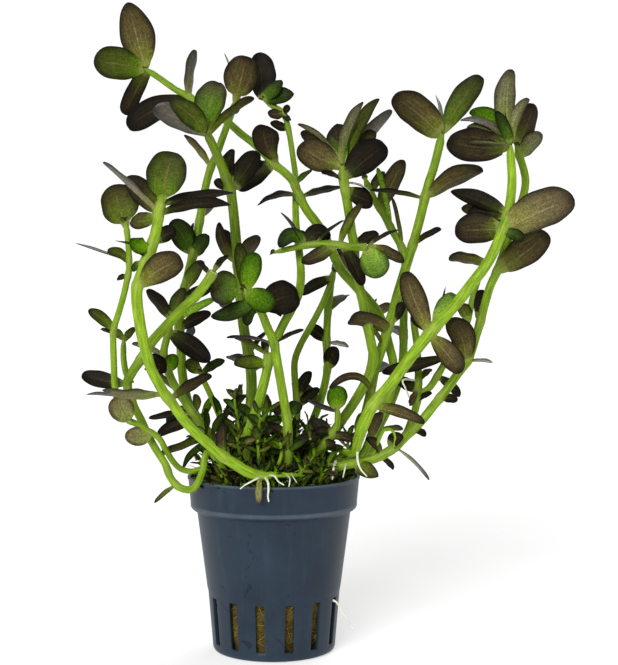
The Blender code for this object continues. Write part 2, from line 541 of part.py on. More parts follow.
        Leaf((19.8, 76), (19.4, 82.6), 6.0, 12, -2, 0, "green"),
        Leaf((19.9, 75), (10.5, 78.4), 3.0, 70, -2, 0.8, "dark"),
        Leaf((18.5, 68), (11.5, 72), 4.0, 30, 3, 0, "dark"),
        Leaf((19, 68.8), (25, 66), 4.4, 140, -1, 0, "brown"),
        Leaf((13.5, 62.5), (18, 61), 3.6, 140, -3, 0, "brown"),
    ],
    "stem_left_short": [
        Leaf((-22.8, 86.5), (-14.8, 91), 3.6, 55, -1, 0, "dark"),
        Leaf((-22.9, 87), (-27.5, 90.5), 4.6, 25, -2, 0, "green"),
        Leaf((-16, 72), (-10, 78.5), 4.0, 35, -2, 0, "dark"),
    ],
    "stem_left_back": [
        Leaf((-32, 103.5), (-39.7, 112.7), 5.2, 150, 1, 0, "dark"),
        Leaf((-33, 100), (-20, 90.3), 6.6, 18, -5, 0, "dark", "leaf_left_inner"),
        Leaf((-32.2, 103), (-27.8, 113.3), 5.0, 25, 2, 0, "green"),
        Leaf((-33.8, 89), (-30, 84.5), 5.0, 15, -3, 0, "green"),
        Leaf((-34.2, 92), (-44.3, 96), 3.6, 60, 2, 0, "grey"),
        Leaf((-29.5, 80), (-40.5, 88), 5.4, 120, 4, 0, "olive"),
        Leaf((-26, 75.3), (-38.5, 74), 5.0, 120, 3, 0, "olive"),
        Leaf((-23, 71.3), (-36.5, 66), 5.4, 40, 3, 0, "dark"),
    ],
    "stem_rear_left": [
        Leaf((-11, 121), (-17, 131), 7.0, 150, 10, 0, "dark"),
        Leaf((-11, 120.5), (-4, 129), 7.0, 140, 12, 0, "brown"),
        Leaf((-9.7, 105), (-17, 108), 6.4, 130, 12, 0, "brown"),
        Leaf((-9.5, 104), (-1, 108.5), 6.4, 60, 11, 0, "dark"),
        Leaf((-7.4, 88), (-14, 92), 6.0, 60, 11, 0, "dark"),
        Leaf((-7.4, 87), (0, 90.5), 6.0, 120, 10, 0, "olive"),
    ],
    "stem_rear_middle": [
        Leaf((25.7, 118.5), (19, 125), 7.0, 150, 11, 0, "brown"),
        Leaf((25.7, 118), (33, 124.5), 7.0, 140, 12, 0, "dark"),
        Leaf((28.7, 104), (22, 106), 6.4, 60, 12, 0, "dark"),
        Leaf((28.9, 103), (37, 107), 6.4, 130, 11, 0, "brown"),
        Leaf((29.7, 88), (22.5, 90), 6.0, 120, 11, 0, "olive"),
        Leaf((29.4, 87), (37, 88.5), 6.0, 60, 12, 0, "dark"),
    ],
}

ROOTS = {
    "stem_front_arch": [
        Root([(-3.8, 54), (-7, 52.5), (-10.5, 50.3)], -5),
        Root([(-2.8, 54), (-1.8, 50), (-2, 46.3)], -5),
        Root([(-1, 54.5), (0.8, 53.2), (3, 51.5)], -5),
        Root([(4, 54.8), (4.8, 53), (4.7, 51)], -7),
        Root([(-4.3, 54), (-4.5, 49.5), (-4.6, 45.4)], -5, 1.6),
    ],
    "stem_right_front": [
        Root([(26.2, 63), (26.2, 59.5), (27.2, 56.5), (29.2, 54.2)], -2),
    ],
    "stem_right_inner": [
        Root([(45.1, 83), (42.2, 80), (43, 77), (45.6, 74.3)]),
    ],
}

STEM_COLOUR = (0.22, 0.42, 0.03)
LEAF_COLOURS = {
    "bright": (0.13, 0.30, 0.02),
    "green": (0.07, 0.12, 0.02),
    "olive": (0.11, 0.10, 0.03),
    "pale": (0.34, 0.31, 0.13),
    "brown": (0.07, 0.05, 0.035),
    "grey": (0.12, 0.11, 0.09),
    "dark": (0.014, 0.010, 0.008),
    "stemmy": (0.20, 0.38, 0.03),
}


def clear_scene():
    for obj in list(bpy.data.objects):
        bpy.data.objects.remove(obj, do_unlink=True)


def material(name, colour, roughness):
    made = bpy.data.materials.new(name)
    made.use_nodes = True
    shader = made.node_tree.nodes["Principled BSDF"]
    shader.inputs["Base Color"].default_value = (*colour, 1.0)
    shader.inputs["Roughness"].default_value = roughness
    shader.inputs["Metallic"].default_value = 0.0
    return made


def mesh_object(name, points, faces):
    """One object from points in millimetres, with its faces turned outwards."""
    mesh = bpy.data.meshes.new(name)
    mesh.from_pydata([tuple(MM * value for value in point) for point in points], [], faces)
    work = bmesh.new()
    work.from_mesh(mesh)
    bmesh.ops.recalc_face_normals(work, faces=work.faces)
    work.to_mesh(mesh)
    work.free()
    obj = bpy.data.objects.new(name, mesh)
    bpy.context.scene.collection.objects.link(obj)
    return obj


def place(across, up, depth):
    """The point that shows at (across, up) from the front and lies at this depth."""
    reach = 1.0 + depth / EYE_DISTANCE
    return Vector((
        EYE_ACROSS + (across - EYE_ACROSS) * reach,
        depth,
        EYE_UP + (up - EYE_UP) * reach,
    ))


def along(values, share):
    """The value at this share, 0 to 1, of a list of values spaced evenly."""
    position = share * (len(values) - 1)
    index = min(int(position), len(values) - 2)
    part = position - index
    return values[index] * (1.0 - part) + values[index + 1] * part


def smooth_curve(points):
    """Close points along a Catmull-Rom curve through the given ones."""
    ends = [points[0] * 2 - points[1], *points, points[-1] * 2 - points[-2]]
    curve = []
    for a, b, c, d in zip(ends, ends[1:], ends[2:], ends[3:]):
        for sample in range(FINE_SAMPLES):
            t = sample / FINE_SAMPLES
            curve.append(0.5 * (
                2 * b + (c - a) * t + (2 * a - 5 * b + 4 * c - d) * t ** 2
                + (3 * b - a - 3 * c + d) * t ** 3
            ))
    curve.append(points[-1])
    return curve


def lengths_of(curve):
    total = [0.0]
    for a, b in zip(curve, curve[1:]):
        total.append(total[-1] + (b - a).length)
    return total


def point_at(curve, lengths, distance):
    index = 1
    while index < len(curve) - 1 and lengths[index] < distance:
        index += 1
    span = lengths[index] - lengths[index - 1]
    part = min(max((distance - lengths[index - 1]) / span, 0.0), 1.0)
    return curve[index - 1].lerp(curve[index], part)


def tube(name, curve, width_at, sides, step, start=0.0, upright=False):
    """A closed tube along a curve, with width_at(share of the length) across it and a tapered tip.

    An upright one starts level, so that its foot stands flat.
    """
    lengths = lengths_of(curve)
    whole = lengths[-1]
    count = max(2, round((whole - start) / step))
    distances = [start + (whole - start) * index / count for index in range(count + 1)]
    centres = [point_at(curve, lengths, distance) for distance in distances]
    tangents = []
    for index in range(len(centres)):
        ahead = centres[min(index + 1, count)]
        behind = centres[max(index - 1, 0)]
        tangents.append((ahead - behind).normalized())
    if upright:
        tangents[0] = Vector((0, 0, 1))
    side = tangents[0].orthogonal().normalized()
    points = []
    for index, (centre, tangent) in enumerate(zip(centres, tangents)):
        side = (side - tangent * side.dot(tangent)).normalized()
        across = tangent.cross(side)
        radius = 0.5 * width_at(distances[index] / whole)
        if index == count:
            radius *= STEM_TIP_TAPER
        for corner in range(sides):
            angle = 2 * math.pi * corner / sides
            points.append(centre + radius * (math.cos(angle) * side + math.sin(angle) * across))
    faces = [tuple(range(sides)), tuple(range(len(points) - sides, len(points)))]
    for ring in range(count):
        for corner in range(sides):
            beside = (corner + 1) % sides
            low = ring * sides
            high = low + sides
            faces.append((low + corner, low + beside, high + beside, high + corner))
    return mesh_object(name, points, faces)


def tangle_height(radius):
    """How high the tangle stands this far from the pot's axis."""
    outline = [*TANGLE, (0.0, TANGLE_TOP)]
    for (outer, low), (inner, high) in zip(outline, outline[1:]):
        if radius >= inner:
            part = min((outer - radius) / (outer - inner), 1.0)
            return low + (high - low) * max(part, 0.0)
    return TANGLE_TOP


class Growth:
    """A stem's smooth centre line, with what a blade needs to know to sit on it."""

    def __init__(self, stem):
        self.stem = stem
        last = len(stem.route) - 1
        places = [
            place(across, up, along(stem.depth, index / last))
            for index, (across, up) in enumerate(stem.route)
        ]
        widths = [along(stem.width, index / last) for index in range(last + 1)]
        if stem.foot:
            inner_edge = math.hypot(*stem.foot) - stem.width[0] / 2
            places.insert(0, Vector((*stem.foot, tangle_height(inner_edge) + GAP)))
            widths.insert(0, stem.width[0])
        self.curve = smooth_curve(places)
        self.widths = widths
        self.lengths = lengths_of(self.curve)

    def width_at_index(self, index):
        return along(self.widths, index / (len(self.curve) - 1))

    def width_at(self, share):
        target = share * self.lengths[-1]
        index = 1
        while index < len(self.curve) - 1 and self.lengths[index] < target:
            index += 1
        return self.width_at_index(index)

    def nearest(self, across, up):
        """The place on the centre line that shows nearest to a point from the front."""
        def apart(index):
            point = self.curve[index]
            reach = 1.0 + point.y / EYE_DISTANCE
            shown_across = EYE_ACROSS + (point.x - EYE_ACROSS) / reach
            shown_up = EYE_UP + (point.z - EYE_UP) / reach
            return math.hypot(shown_across - across, shown_up - up)

        index = min(range(len(self.curve)), key=apart)
        before = self.curve[max(index - 1, 0)]
        after = self.curve[min(index + 1, len(self.curve) - 1)]
        return self.curve[index], (after - before).normalized(), self.width_at_index(index) / 2


def blade_half_width(share):
    """Half a blade's width as a share of its greatest, from its base at 0 to its round tip at 1."""
    if share < BLADE_WIDEST:
        rise = math.sin(0.5 * math.pi * share / BLADE_WIDEST)
        return BLADE_BASE_SHARE + (1.0 - BLADE_BASE_SHARE) * rise
    beyond = (share - BLADE_WIDEST) / (1.0 - BLADE_WIDEST)
    return math.sqrt(max(0.0, 1.0 - beyond ** 2))


def blade(name, start, tip, leaf, stations):
    """A thin closed blade, cupped towards its upper side, between two points.

    A large blade has a ridge along the middle of both sides, and a small one a keel below only.
    """
    run = tip - start
    heading = run.normalized()
    facing = Vector((0, -1, 0))
    facing = (facing - heading * facing.dot(heading)).normalized()
    turn = math.radians(leaf.roll) * (-1.0 if heading.x > 0 else 1.0)
    normal = Matrix.Rotation(turn, 3, heading) @ facing
    swing = Vector((-heading.z, 0, heading.x)).normalized() * leaf.bow
    arch = normal * BLADE_ARCH * run.length
    control = (start + tip) / 2 + 2 * (swing + arch)
    points = []
    for share in stations:
        centre = start * (1 - share) ** 2 + control * 2 * share * (1 - share) + tip * share ** 2
        slope = ((control - start) * (1 - share) + (tip - control) * share).normalized()
        up = (normal - slope * normal.dot(slope)).normalized()
        side = slope.cross(up)
        half = 0.5 * leaf.width * blade_half_width(share)
        fullness = blade_half_width(share)
        end_share = BLADE_END_THICKNESS_SHARE
        thick = 0.5 * BLADE_THICKNESS * (end_share + (1.0 - end_share) * fullness)
        edge_lift = BLADE_CUP * half * up
        points += [centre - half * side + edge_lift, centre - thick * up, centre + half * side + edge_lift]
        if leaf.name:
            points.append(centre + thick * up)
    corners = 4 if leaf.name else 3
    points.append(tip)
    faces = [(0, 1, 2)]
    if leaf.name:
        faces = [(0, 1, 3), (2, 3, 1)]
    for ring in range(len(stations) - 1):
        for corner in range(corners):
            beside = (corner + 1) % corners
            low = corners * ring
            high = low + corners
            faces.append((low + corner, low + beside, high + beside))
            faces.append((low + corner, high + beside, high + corner))
    last = corners * (len(stations) - 1)
    for corner in range(corners):
        faces.append((last + corner, last + (corner + 1) % corners, len(points) - 1))
    return mesh_object(name, points, faces)


def leaf_object(growth, leaf, name):
    """A blade set on its stem: a named one stands clear of it, any other starts inside it."""
    middle, tangent, radius = growth.nearest(*leaf.base)
    tip = place(*leaf.tip, middle.y + leaf.lean - leaf.ahead)
    middle = middle - Vector((0, leaf.ahead, 0))
    heading = (tip - middle).normalized()
    if leaf.name:
        crossing = max(heading.cross(tangent).length, LEAST_CROSSING)
        start = middle + heading * (radius + LARGE_BLADE_CLEARANCE) / crossing
        return blade(name, start, tip, leaf, LARGE_BLADE_STATIONS)
    start = middle - heading * SMALL_BLADE_SINK_SHARE * radius
    return blade(name, start, tip, leaf, SMALL_BLADE_STATIONS)


def root_object(growth, root, name):
    depth = growth.nearest(*root.route[0])[0].y
    points = [place(*root.route[0], depth)]
    points += [place(across, up, depth + root.lean) for across, up in root.route[1:]]

    def width_at(share):
        return root.width * (1.0 - ROOT_TAPER * share)

    return tube(name, smooth_curve(points), width_at, ROOT_SIDES, ROOT_STEP)


def fuse(obj, additions):
    """Joins the additions to obj as one solid, and removes them."""
    if not additions:
        return
    together = bpy.data.collections.new(obj.name + "_additions")
    for addition in additions:
        together.objects.link(addition)
    union = obj.modifiers.new("union", "BOOLEAN")
    union.operation = "UNION"
    union.operand_type = "COLLECTION"
    union.collection = together
    tidy = obj.modifiers.new("tidy", "DECIMATE")
    tidy.decimate_type = "DISSOLVE"
    tidy.angle_limit = math.radians(TIDY_ANGLE)
    graph = bpy.context.evaluated_depsgraph_get()
    joined = bpy.data.meshes.new_from_object(obj.evaluated_get(graph))
    obj.modifiers.clear()
    obj.data = joined
    for addition in additions:
        bpy.data.objects.remove(addition, do_unlink=True)
    bpy.data.collections.remove(together)


def grow_stems():
    stem_material = material("stem_green", STEM_COLOUR, 0.45)
    leaf_materials = {
        tone: material("leaf_" + tone, colour, 0.5) for tone, colour in LEAF_COLOURS.items()
    }
    for stem in STEMS:
        growth = Growth(stem)
        sides = STEM_SIDES if max(stem.width) > THIN_STEM_WIDTH else THIN_STEM_SIDES
        rooted = stem.foot is not None
        obj = tube(stem.name, growth.curve, growth.width_at, sides, stem.step, stem.trim, rooted)
        additions = []
        for number, leaf in enumerate(LEAVES.get(stem.name, [])):
            made = leaf_object(growth, leaf, leaf.name or f"{stem.name}_small_{number}")
            if leaf.name:
                made.data.materials.append(leaf_materials[leaf.tone])
            else:
                additions.append(made)
        for number, root in enumerate(ROOTS.get(stem.name, [])):
            additions.append(root_object(growth, root, f"{stem.name}_root_{number}"))
        fuse(obj, additions)
        obj.data.materials.clear()
        obj.data.materials.append(stem_material)


def turned(name, profile, sides):
    """A closed solid turned about the Z axis. The profile starts and ends on the axis."""
    points = [(0.0, 0.0, profile[0][1])]
    for radius, height in profile[1:-1]:
        for corner in range(sides):
            angle = 2 * math.pi * (corner + 0.5) / sides
            points.append((radius * math.cos(angle), radius * math.sin(angle), height))
    points.append((0.0, 0.0, profile[-1][1]))
    faces = []
    rings = len(profile) - 2
    for corner in range(sides):
        beside = (corner + 1) % sides
        faces.append((0, 1 + beside, 1 + corner))
        top = 1 + (rings - 1) * sides
        faces.append((len(points) - 1, top + corner, top + beside))
        for ring in range(rings - 1):
            low = 1 + ring * sides
            high = low + sides
            faces.append((low + corner, low + beside, high + beside, high + corner))
    return mesh_object(name, points, faces)


def box_cutter(name, centre, size, angle):
    """A box in millimetres, turned about Z, for cutting a slot."""
    bpy.ops.mesh.primitive_cube_add(size=1.0)
    cutter = bpy.context.active_object
    cutter.name = name
    turn = Matrix.Rotation(angle, 4, "Z") @ Matrix.Translation(Vector(centre) * MM)
    cutter.data.transform(turn @ Matrix.Diagonal((*(MM * side for side in size), 1.0)))
    return cutter


def make_pot():
    """The net pot: a tall rim band, a tapering wall and slots low down in the wall and in the floor."""
    outside = [
        (0.0, 0.0),
        (BASE_RADIUS - BASE_CORNER, 0.0),
        (BASE_RADIUS, BASE_CORNER),
        (WAIST_RADIUS, WAIST_HEIGHT),
        (BODY_TOP_RADIUS, BODY_TOP_HEIGHT),
        (BODY_TOP_RADIUS + RIM_STEP_REACH, BODY_TOP_HEIGHT + RIM_STEP_RISE),
        (RIM_FOOT_RADIUS, RIM_FOOT_HEIGHT),
        (RIM_RADIUS, POT_HEIGHT),
    ]
    inside = [
        (RIM_RADIUS - WALL, POT_HEIGHT),
        (RIM_FOOT_RADIUS - WALL, RIM_FOOT_HEIGHT + INNER_STEP_RISE),
        (BODY_TOP_RADIUS - WALL, BODY_TOP_HEIGHT),
        (WAIST_RADIUS - WALL, WAIST_HEIGHT),
        (BASE_RADIUS - WALL, FLOOR_THICKNESS),
        (0.0, FLOOR_THICKNESS),
    ]
    pot = turned("pot", outside + inside, POT_SIDES)
    cutters = []
    middle_height = (SLOT_BOTTOM + SLOT_TOP) / 2
    for index in range(SLOTS):
        angle = -math.pi / 2 + 2 * math.pi * (index + 0.5) / SLOTS
        size = (SLOT_CUT_DEPTH, SLOT_WIDTH, SLOT_TOP - SLOT_BOTTOM)
        cutters.append(box_cutter(f"slot_{index}", (BASE_RADIUS, 0, middle_height), size, angle))
    for index in range(FLOOR_SLOTS):
        angle = 2 * math.pi * index / FLOOR_SLOTS
        centre = ((FLOOR_SLOT_START + FLOOR_SLOT_END) / 2, 0, FLOOR_THICKNESS / 2)
        size = (FLOOR_SLOT_END - FLOOR_SLOT_START, FLOOR_SLOT_WIDTH, FLOOR_SLOT_CUT_HEIGHT)
        cutters.append(box_cutter(f"floor_slot_{index}", centre, size, angle))
    cut(pot, cutters)
    pot.data.materials.append(material("pot_plastic", (0.035, 0.055, 0.08), 0.45))


def cut(obj, cutters):
    """Cuts the cutters from obj, and removes them."""
    together = bpy.data.collections.new(obj.name + "_cutters")
    for cutter in cutters:
        together.objects.link(cutter)
    difference = obj.modifiers.new("cut", "BOOLEAN")
    difference.operation = "DIFFERENCE"
    difference.operand_type = "COLLECTION"
    difference.collection = together
    graph = bpy.context.evaluated_depsgraph_get()
    remaining = bpy.data.meshes.new_from_object(obj.evaluated_get(graph))
    obj.modifiers.clear()
    obj.data = remaining
    for cutter in cutters:
        bpy.data.objects.remove(cutter, do_unlink=True)
    bpy.data.collections.remove(together)


def make_plug():
    """The mineral wool that fills the pot, clear of its walls."""
    profile = [
        (0.0, FLOOR_THICKNESS + GAP),
        (PLUG_FOOT_RADIUS, FLOOR_THICKNESS + GAP),
        (WAIST_RADIUS - WALL - GAP, WAIST_HEIGHT),
        (BODY_TOP_RADIUS - WALL - GAP, BODY_TOP_HEIGHT),
        (RIM_FOOT_RADIUS - WALL - GAP, PLUG_TOP - PLUG_CHAMFER),
        (RIM_FOOT_RADIUS - WALL - GAP - PLUG_CHAMFER, PLUG_TOP),
        (0.0, PLUG_TOP),
    ]
    plug = turned("growing_plug", profile, PLUG_SIDES)
    plug.data.materials.append(material("mineral_wool", (0.14, 0.10, 0.03), 0.95))


def make_tangle():
    """The low tangle of small leaves and moss on the plug, which the stems rise from."""
    base = PLUG_TOP + GAP
    profile = [(0.0, base), (TANGLE_FOOT_RADIUS, base), *TANGLE, (0.0, TANGLE_TOP)]
    tangle = turned("basal_tangle", profile, TANGLE_SIDES)
    tangle.data.materials.append(material("tangle_green", (0.03, 0.06, 0.015), 0.8))


def main():
    clear_scene()
    make_pot()
    make_plug()
    make_tangle()
    grow_stems()


main()
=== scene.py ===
"""A bunch of Bacopa salzmannii in its net pot: the living looks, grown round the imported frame.

The plant is laid out in millimetres as it shows from the front. A point is given across and up on the
upright plane through the pot's axis, then carried along the line of sight to its depth behind that
plane. A negative depth is nearer to the viewer. Every random draw has its own seed.
"""
import math
import random
from typing import NamedTuple

import bmesh
import bpy
from mathutils import Matrix, Vector, noise


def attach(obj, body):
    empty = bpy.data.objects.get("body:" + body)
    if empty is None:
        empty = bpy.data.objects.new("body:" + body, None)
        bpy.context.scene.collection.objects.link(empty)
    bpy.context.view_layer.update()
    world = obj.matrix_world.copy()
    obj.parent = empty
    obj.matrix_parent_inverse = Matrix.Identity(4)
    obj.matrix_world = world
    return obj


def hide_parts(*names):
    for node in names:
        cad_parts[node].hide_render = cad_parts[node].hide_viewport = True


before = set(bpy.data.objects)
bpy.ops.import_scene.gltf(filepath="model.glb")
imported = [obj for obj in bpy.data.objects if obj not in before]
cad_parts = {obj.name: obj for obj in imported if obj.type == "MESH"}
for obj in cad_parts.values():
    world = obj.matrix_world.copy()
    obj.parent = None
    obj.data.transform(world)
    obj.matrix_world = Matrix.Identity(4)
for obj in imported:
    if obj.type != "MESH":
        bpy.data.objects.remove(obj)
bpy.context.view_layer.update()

# Metres in a millimetre, and the gap in millimetres that is kept between solids
MM = 0.001
GAP = 0.35

# The eye that the front view is drawn from, and what it looks at
EYE_ACROSS = 11.0
EYE_UP = 126.0
EYE_DISTANCE = 490.0
AIM_UP = 99.4
LENS = 85.16
SENSOR = 36.0

# The net pot, with the same sizes as its solid
POT_HEIGHT = 54.8
RIM_RADIUS = 27.0
RIM_FOOT_RADIUS = 26.0
RIM_FOOT_HEIGHT = 45.5
BODY_TOP_RADIUS = 24.1
BODY_TOP_HEIGHT = 44.1
WAIST_RADIUS = 20.9
WAIST_HEIGHT = 19.6
BASE_RADIUS = 19.2
BASE_CORNER = 1.2
WALL = 1.0
FLOOR_THICKNESS = 1.3
POT_SIDES = 112
POT_CORNER = 0.45
POT_CORNER_STEPS = 4
POT_EDGE_SOFTENING = 0.12
POT_MEAN_RADIUS = 24.0

# Its slots, turned a little so that those in view stand as in the photo
SLOTS = 14
SLOT_WIDTH = 2.8
SLOT_BOTTOM = 3.0
SLOT_TOP = 17.7
SLOT_TURN = math.radians(2.0)
SLOT_CUT_DEPTH = 12.0
FLOOR_SLOTS = 7
FLOOR_SLOT_WIDTH = 2.4
FLOOR_SLOT_START = 8.5
FLOOR_SLOT_END = 15.5
FLOOR_SLOT_CUT_HEIGHT = 5.2
SLOT_CORNER = 0.35
FLOOR_SLOT_CORNER = 0.3

# The mineral wool plug, the loose fibres that show through the slots, and the root that hangs out of one
PLUG_TOP = 52.0
PLUG_FOOT_RADIUS = 17.45
PLUG_TOP_INSET = 0.3
WOOL_SIDES = 150
WOOL_ROWS = 70
WOOL_FIBRES = 420
FIBRE_WIDTH = 0.16
FIBRE_RADIUS = 19.0
FIBRE_LOWEST = 2.2
FIBRE_HIGHEST = 19.4
FIBRE_POINTS = 4
SLOT_ROOT = [(17.2, -8.2, 17.2), (19.5, -9.3, 16.4), (21.6, -10.4, 13.0), (24.8, -12.0, 8.8)]

# The bed of small leaves and moss that covers the plug, by its radius and height
BED = [(23.9, 52.9), (22.6, 54.4), (18.5, 56.9), (12.0, 58.6), (5.0, 59.4)]
BED_TOP = 59.6
BED_RADIUS = 24
BED_RINGS = 26
BED_SIDES = 90
BED_LEAVES = 520
BED_STRANDS = 420
BED_SHOOTS = 46
TALL_SHOOTS = 26
BED_ROOTS = 44
MOUND_SUNK = 1.6

# Stems
STEM_SIDES = 16
STEM_STEP = 0.9
FINE_SAMPLES = 12
NODE_SWELL = 0.15
NODE_REACH = 1.2
UNEVENNESS = 0.03
RIBBING = 0.03
SOFT_TIP = 3.0
CUT_EDGE = 0.2
CUT_EDGE_SHARE = 0.86
TRIM_SHARE = 0.4
ROOTED_DEPTH = 3.5
ROOT_TAPER = 0.55
HAIRS_PER_MM = 4.0
HAIR_HALF_WIDTH = 0.045
HAIR_DEPTH = 0.07

# Blades
BLADE_THICKNESS = 0.55
BLADE_CUP = 0.22
BLADE_ARCH = 0.05
BLADE_TWIST = 0.16
BLADE_WAVE = 0.18
SMALL_BLADE_WAVE = 0.3
ROW_CROWDING = 1.35
MIDRIB_REACH = 0.36
MIDRIB_GROOVE = 0.14
MIDRIB_HEIGHT = 0.2
SIDE_RIB_HEIGHT = 0.03
LARGE_BLADE_CLEARANCE = 0.5
LEAST_CROSSING = 0.55
LONG_BLADE = 11.0

# Rows and columns of points on each face of a blade. The whole bed stays under 200,000 triangles.
NAMED_BLADE_FINENESS = (28, 14)
LONG_BLADE_FINENESS = (22, 12)
SHORT_BLADE_FINENESS = (16, 8)
TIP_LEAF_FINENESS = (8, 6)
BED_LEAF_FINENESS = (7, 4)
SHOOT_LEAF_FINENESS = (9, 4)

# A blade's outline: the width of its base, where it is widest, how full it is below that, and how
# blunt and how straight-sided it is above
BLADE_SHAPES = {
    "oval": (0.44, 0.50, 0.85, 2.1, 0.5),
    "round": (0.42, 0.54, 0.80, 2.3, 0.5),
    "spoon": (0.34, 0.60, 1.00, 2.1, 0.5),
    "broad": (0.60, 0.50, 0.75, 2.2, 0.5),
    "point": (0.40, 0.44, 0.85, 1.7, 0.62),
    "lance": (0.34, 0.36, 0.90, 1.35, 0.85),
    "strap": (0.72, 0.50, 1.00, 4.5, 0.5),
    "full": (0.26, 0.46, 0.55, 2.2, 0.5),
}


class Stem(NamedTuple):
    """A stem by its route from the front, its depth and width at even steps along the route's points.

    A stem with a foot rises from that place on the bed. One without grows from another stem, and its
    solid starts the trim distance along its route. Here it starts at a share of that, close to it.
    """

    name: str
    route: list
    depth: tuple
    width: tuple
    foot: tuple = None
    trim: float = 0.0


class Leaf(NamedTuple):
    """A blade from its place on the stem to its tip, both as they show from the front.

    Roll 0 shows the upper side, 90 is edge on with the upper side up, and 180 shows the underside.
    Lean is how far the tip lies behind its base, bow how far the midrib swings to its left, and ahead
    how far the whole blade stands in front of its stem. A blade with a name is a node of its own. Any
    other is fused to its stem.
    """

    base: tuple
    tip: tuple
    width: float
    roll: float
    lean: float = 0.0
    bow: float = 0.0
    tone: str = "dark"
    name: str = ""
    ahead: float = 0.0
    shape: str = "oval"


class Root(NamedTuple):
    """A thin root from the front. Past its first point it lies lean behind its stem."""

    route: list
    lean: float = 0.0
    width: float = 0.9
    finish: str = "root_white"


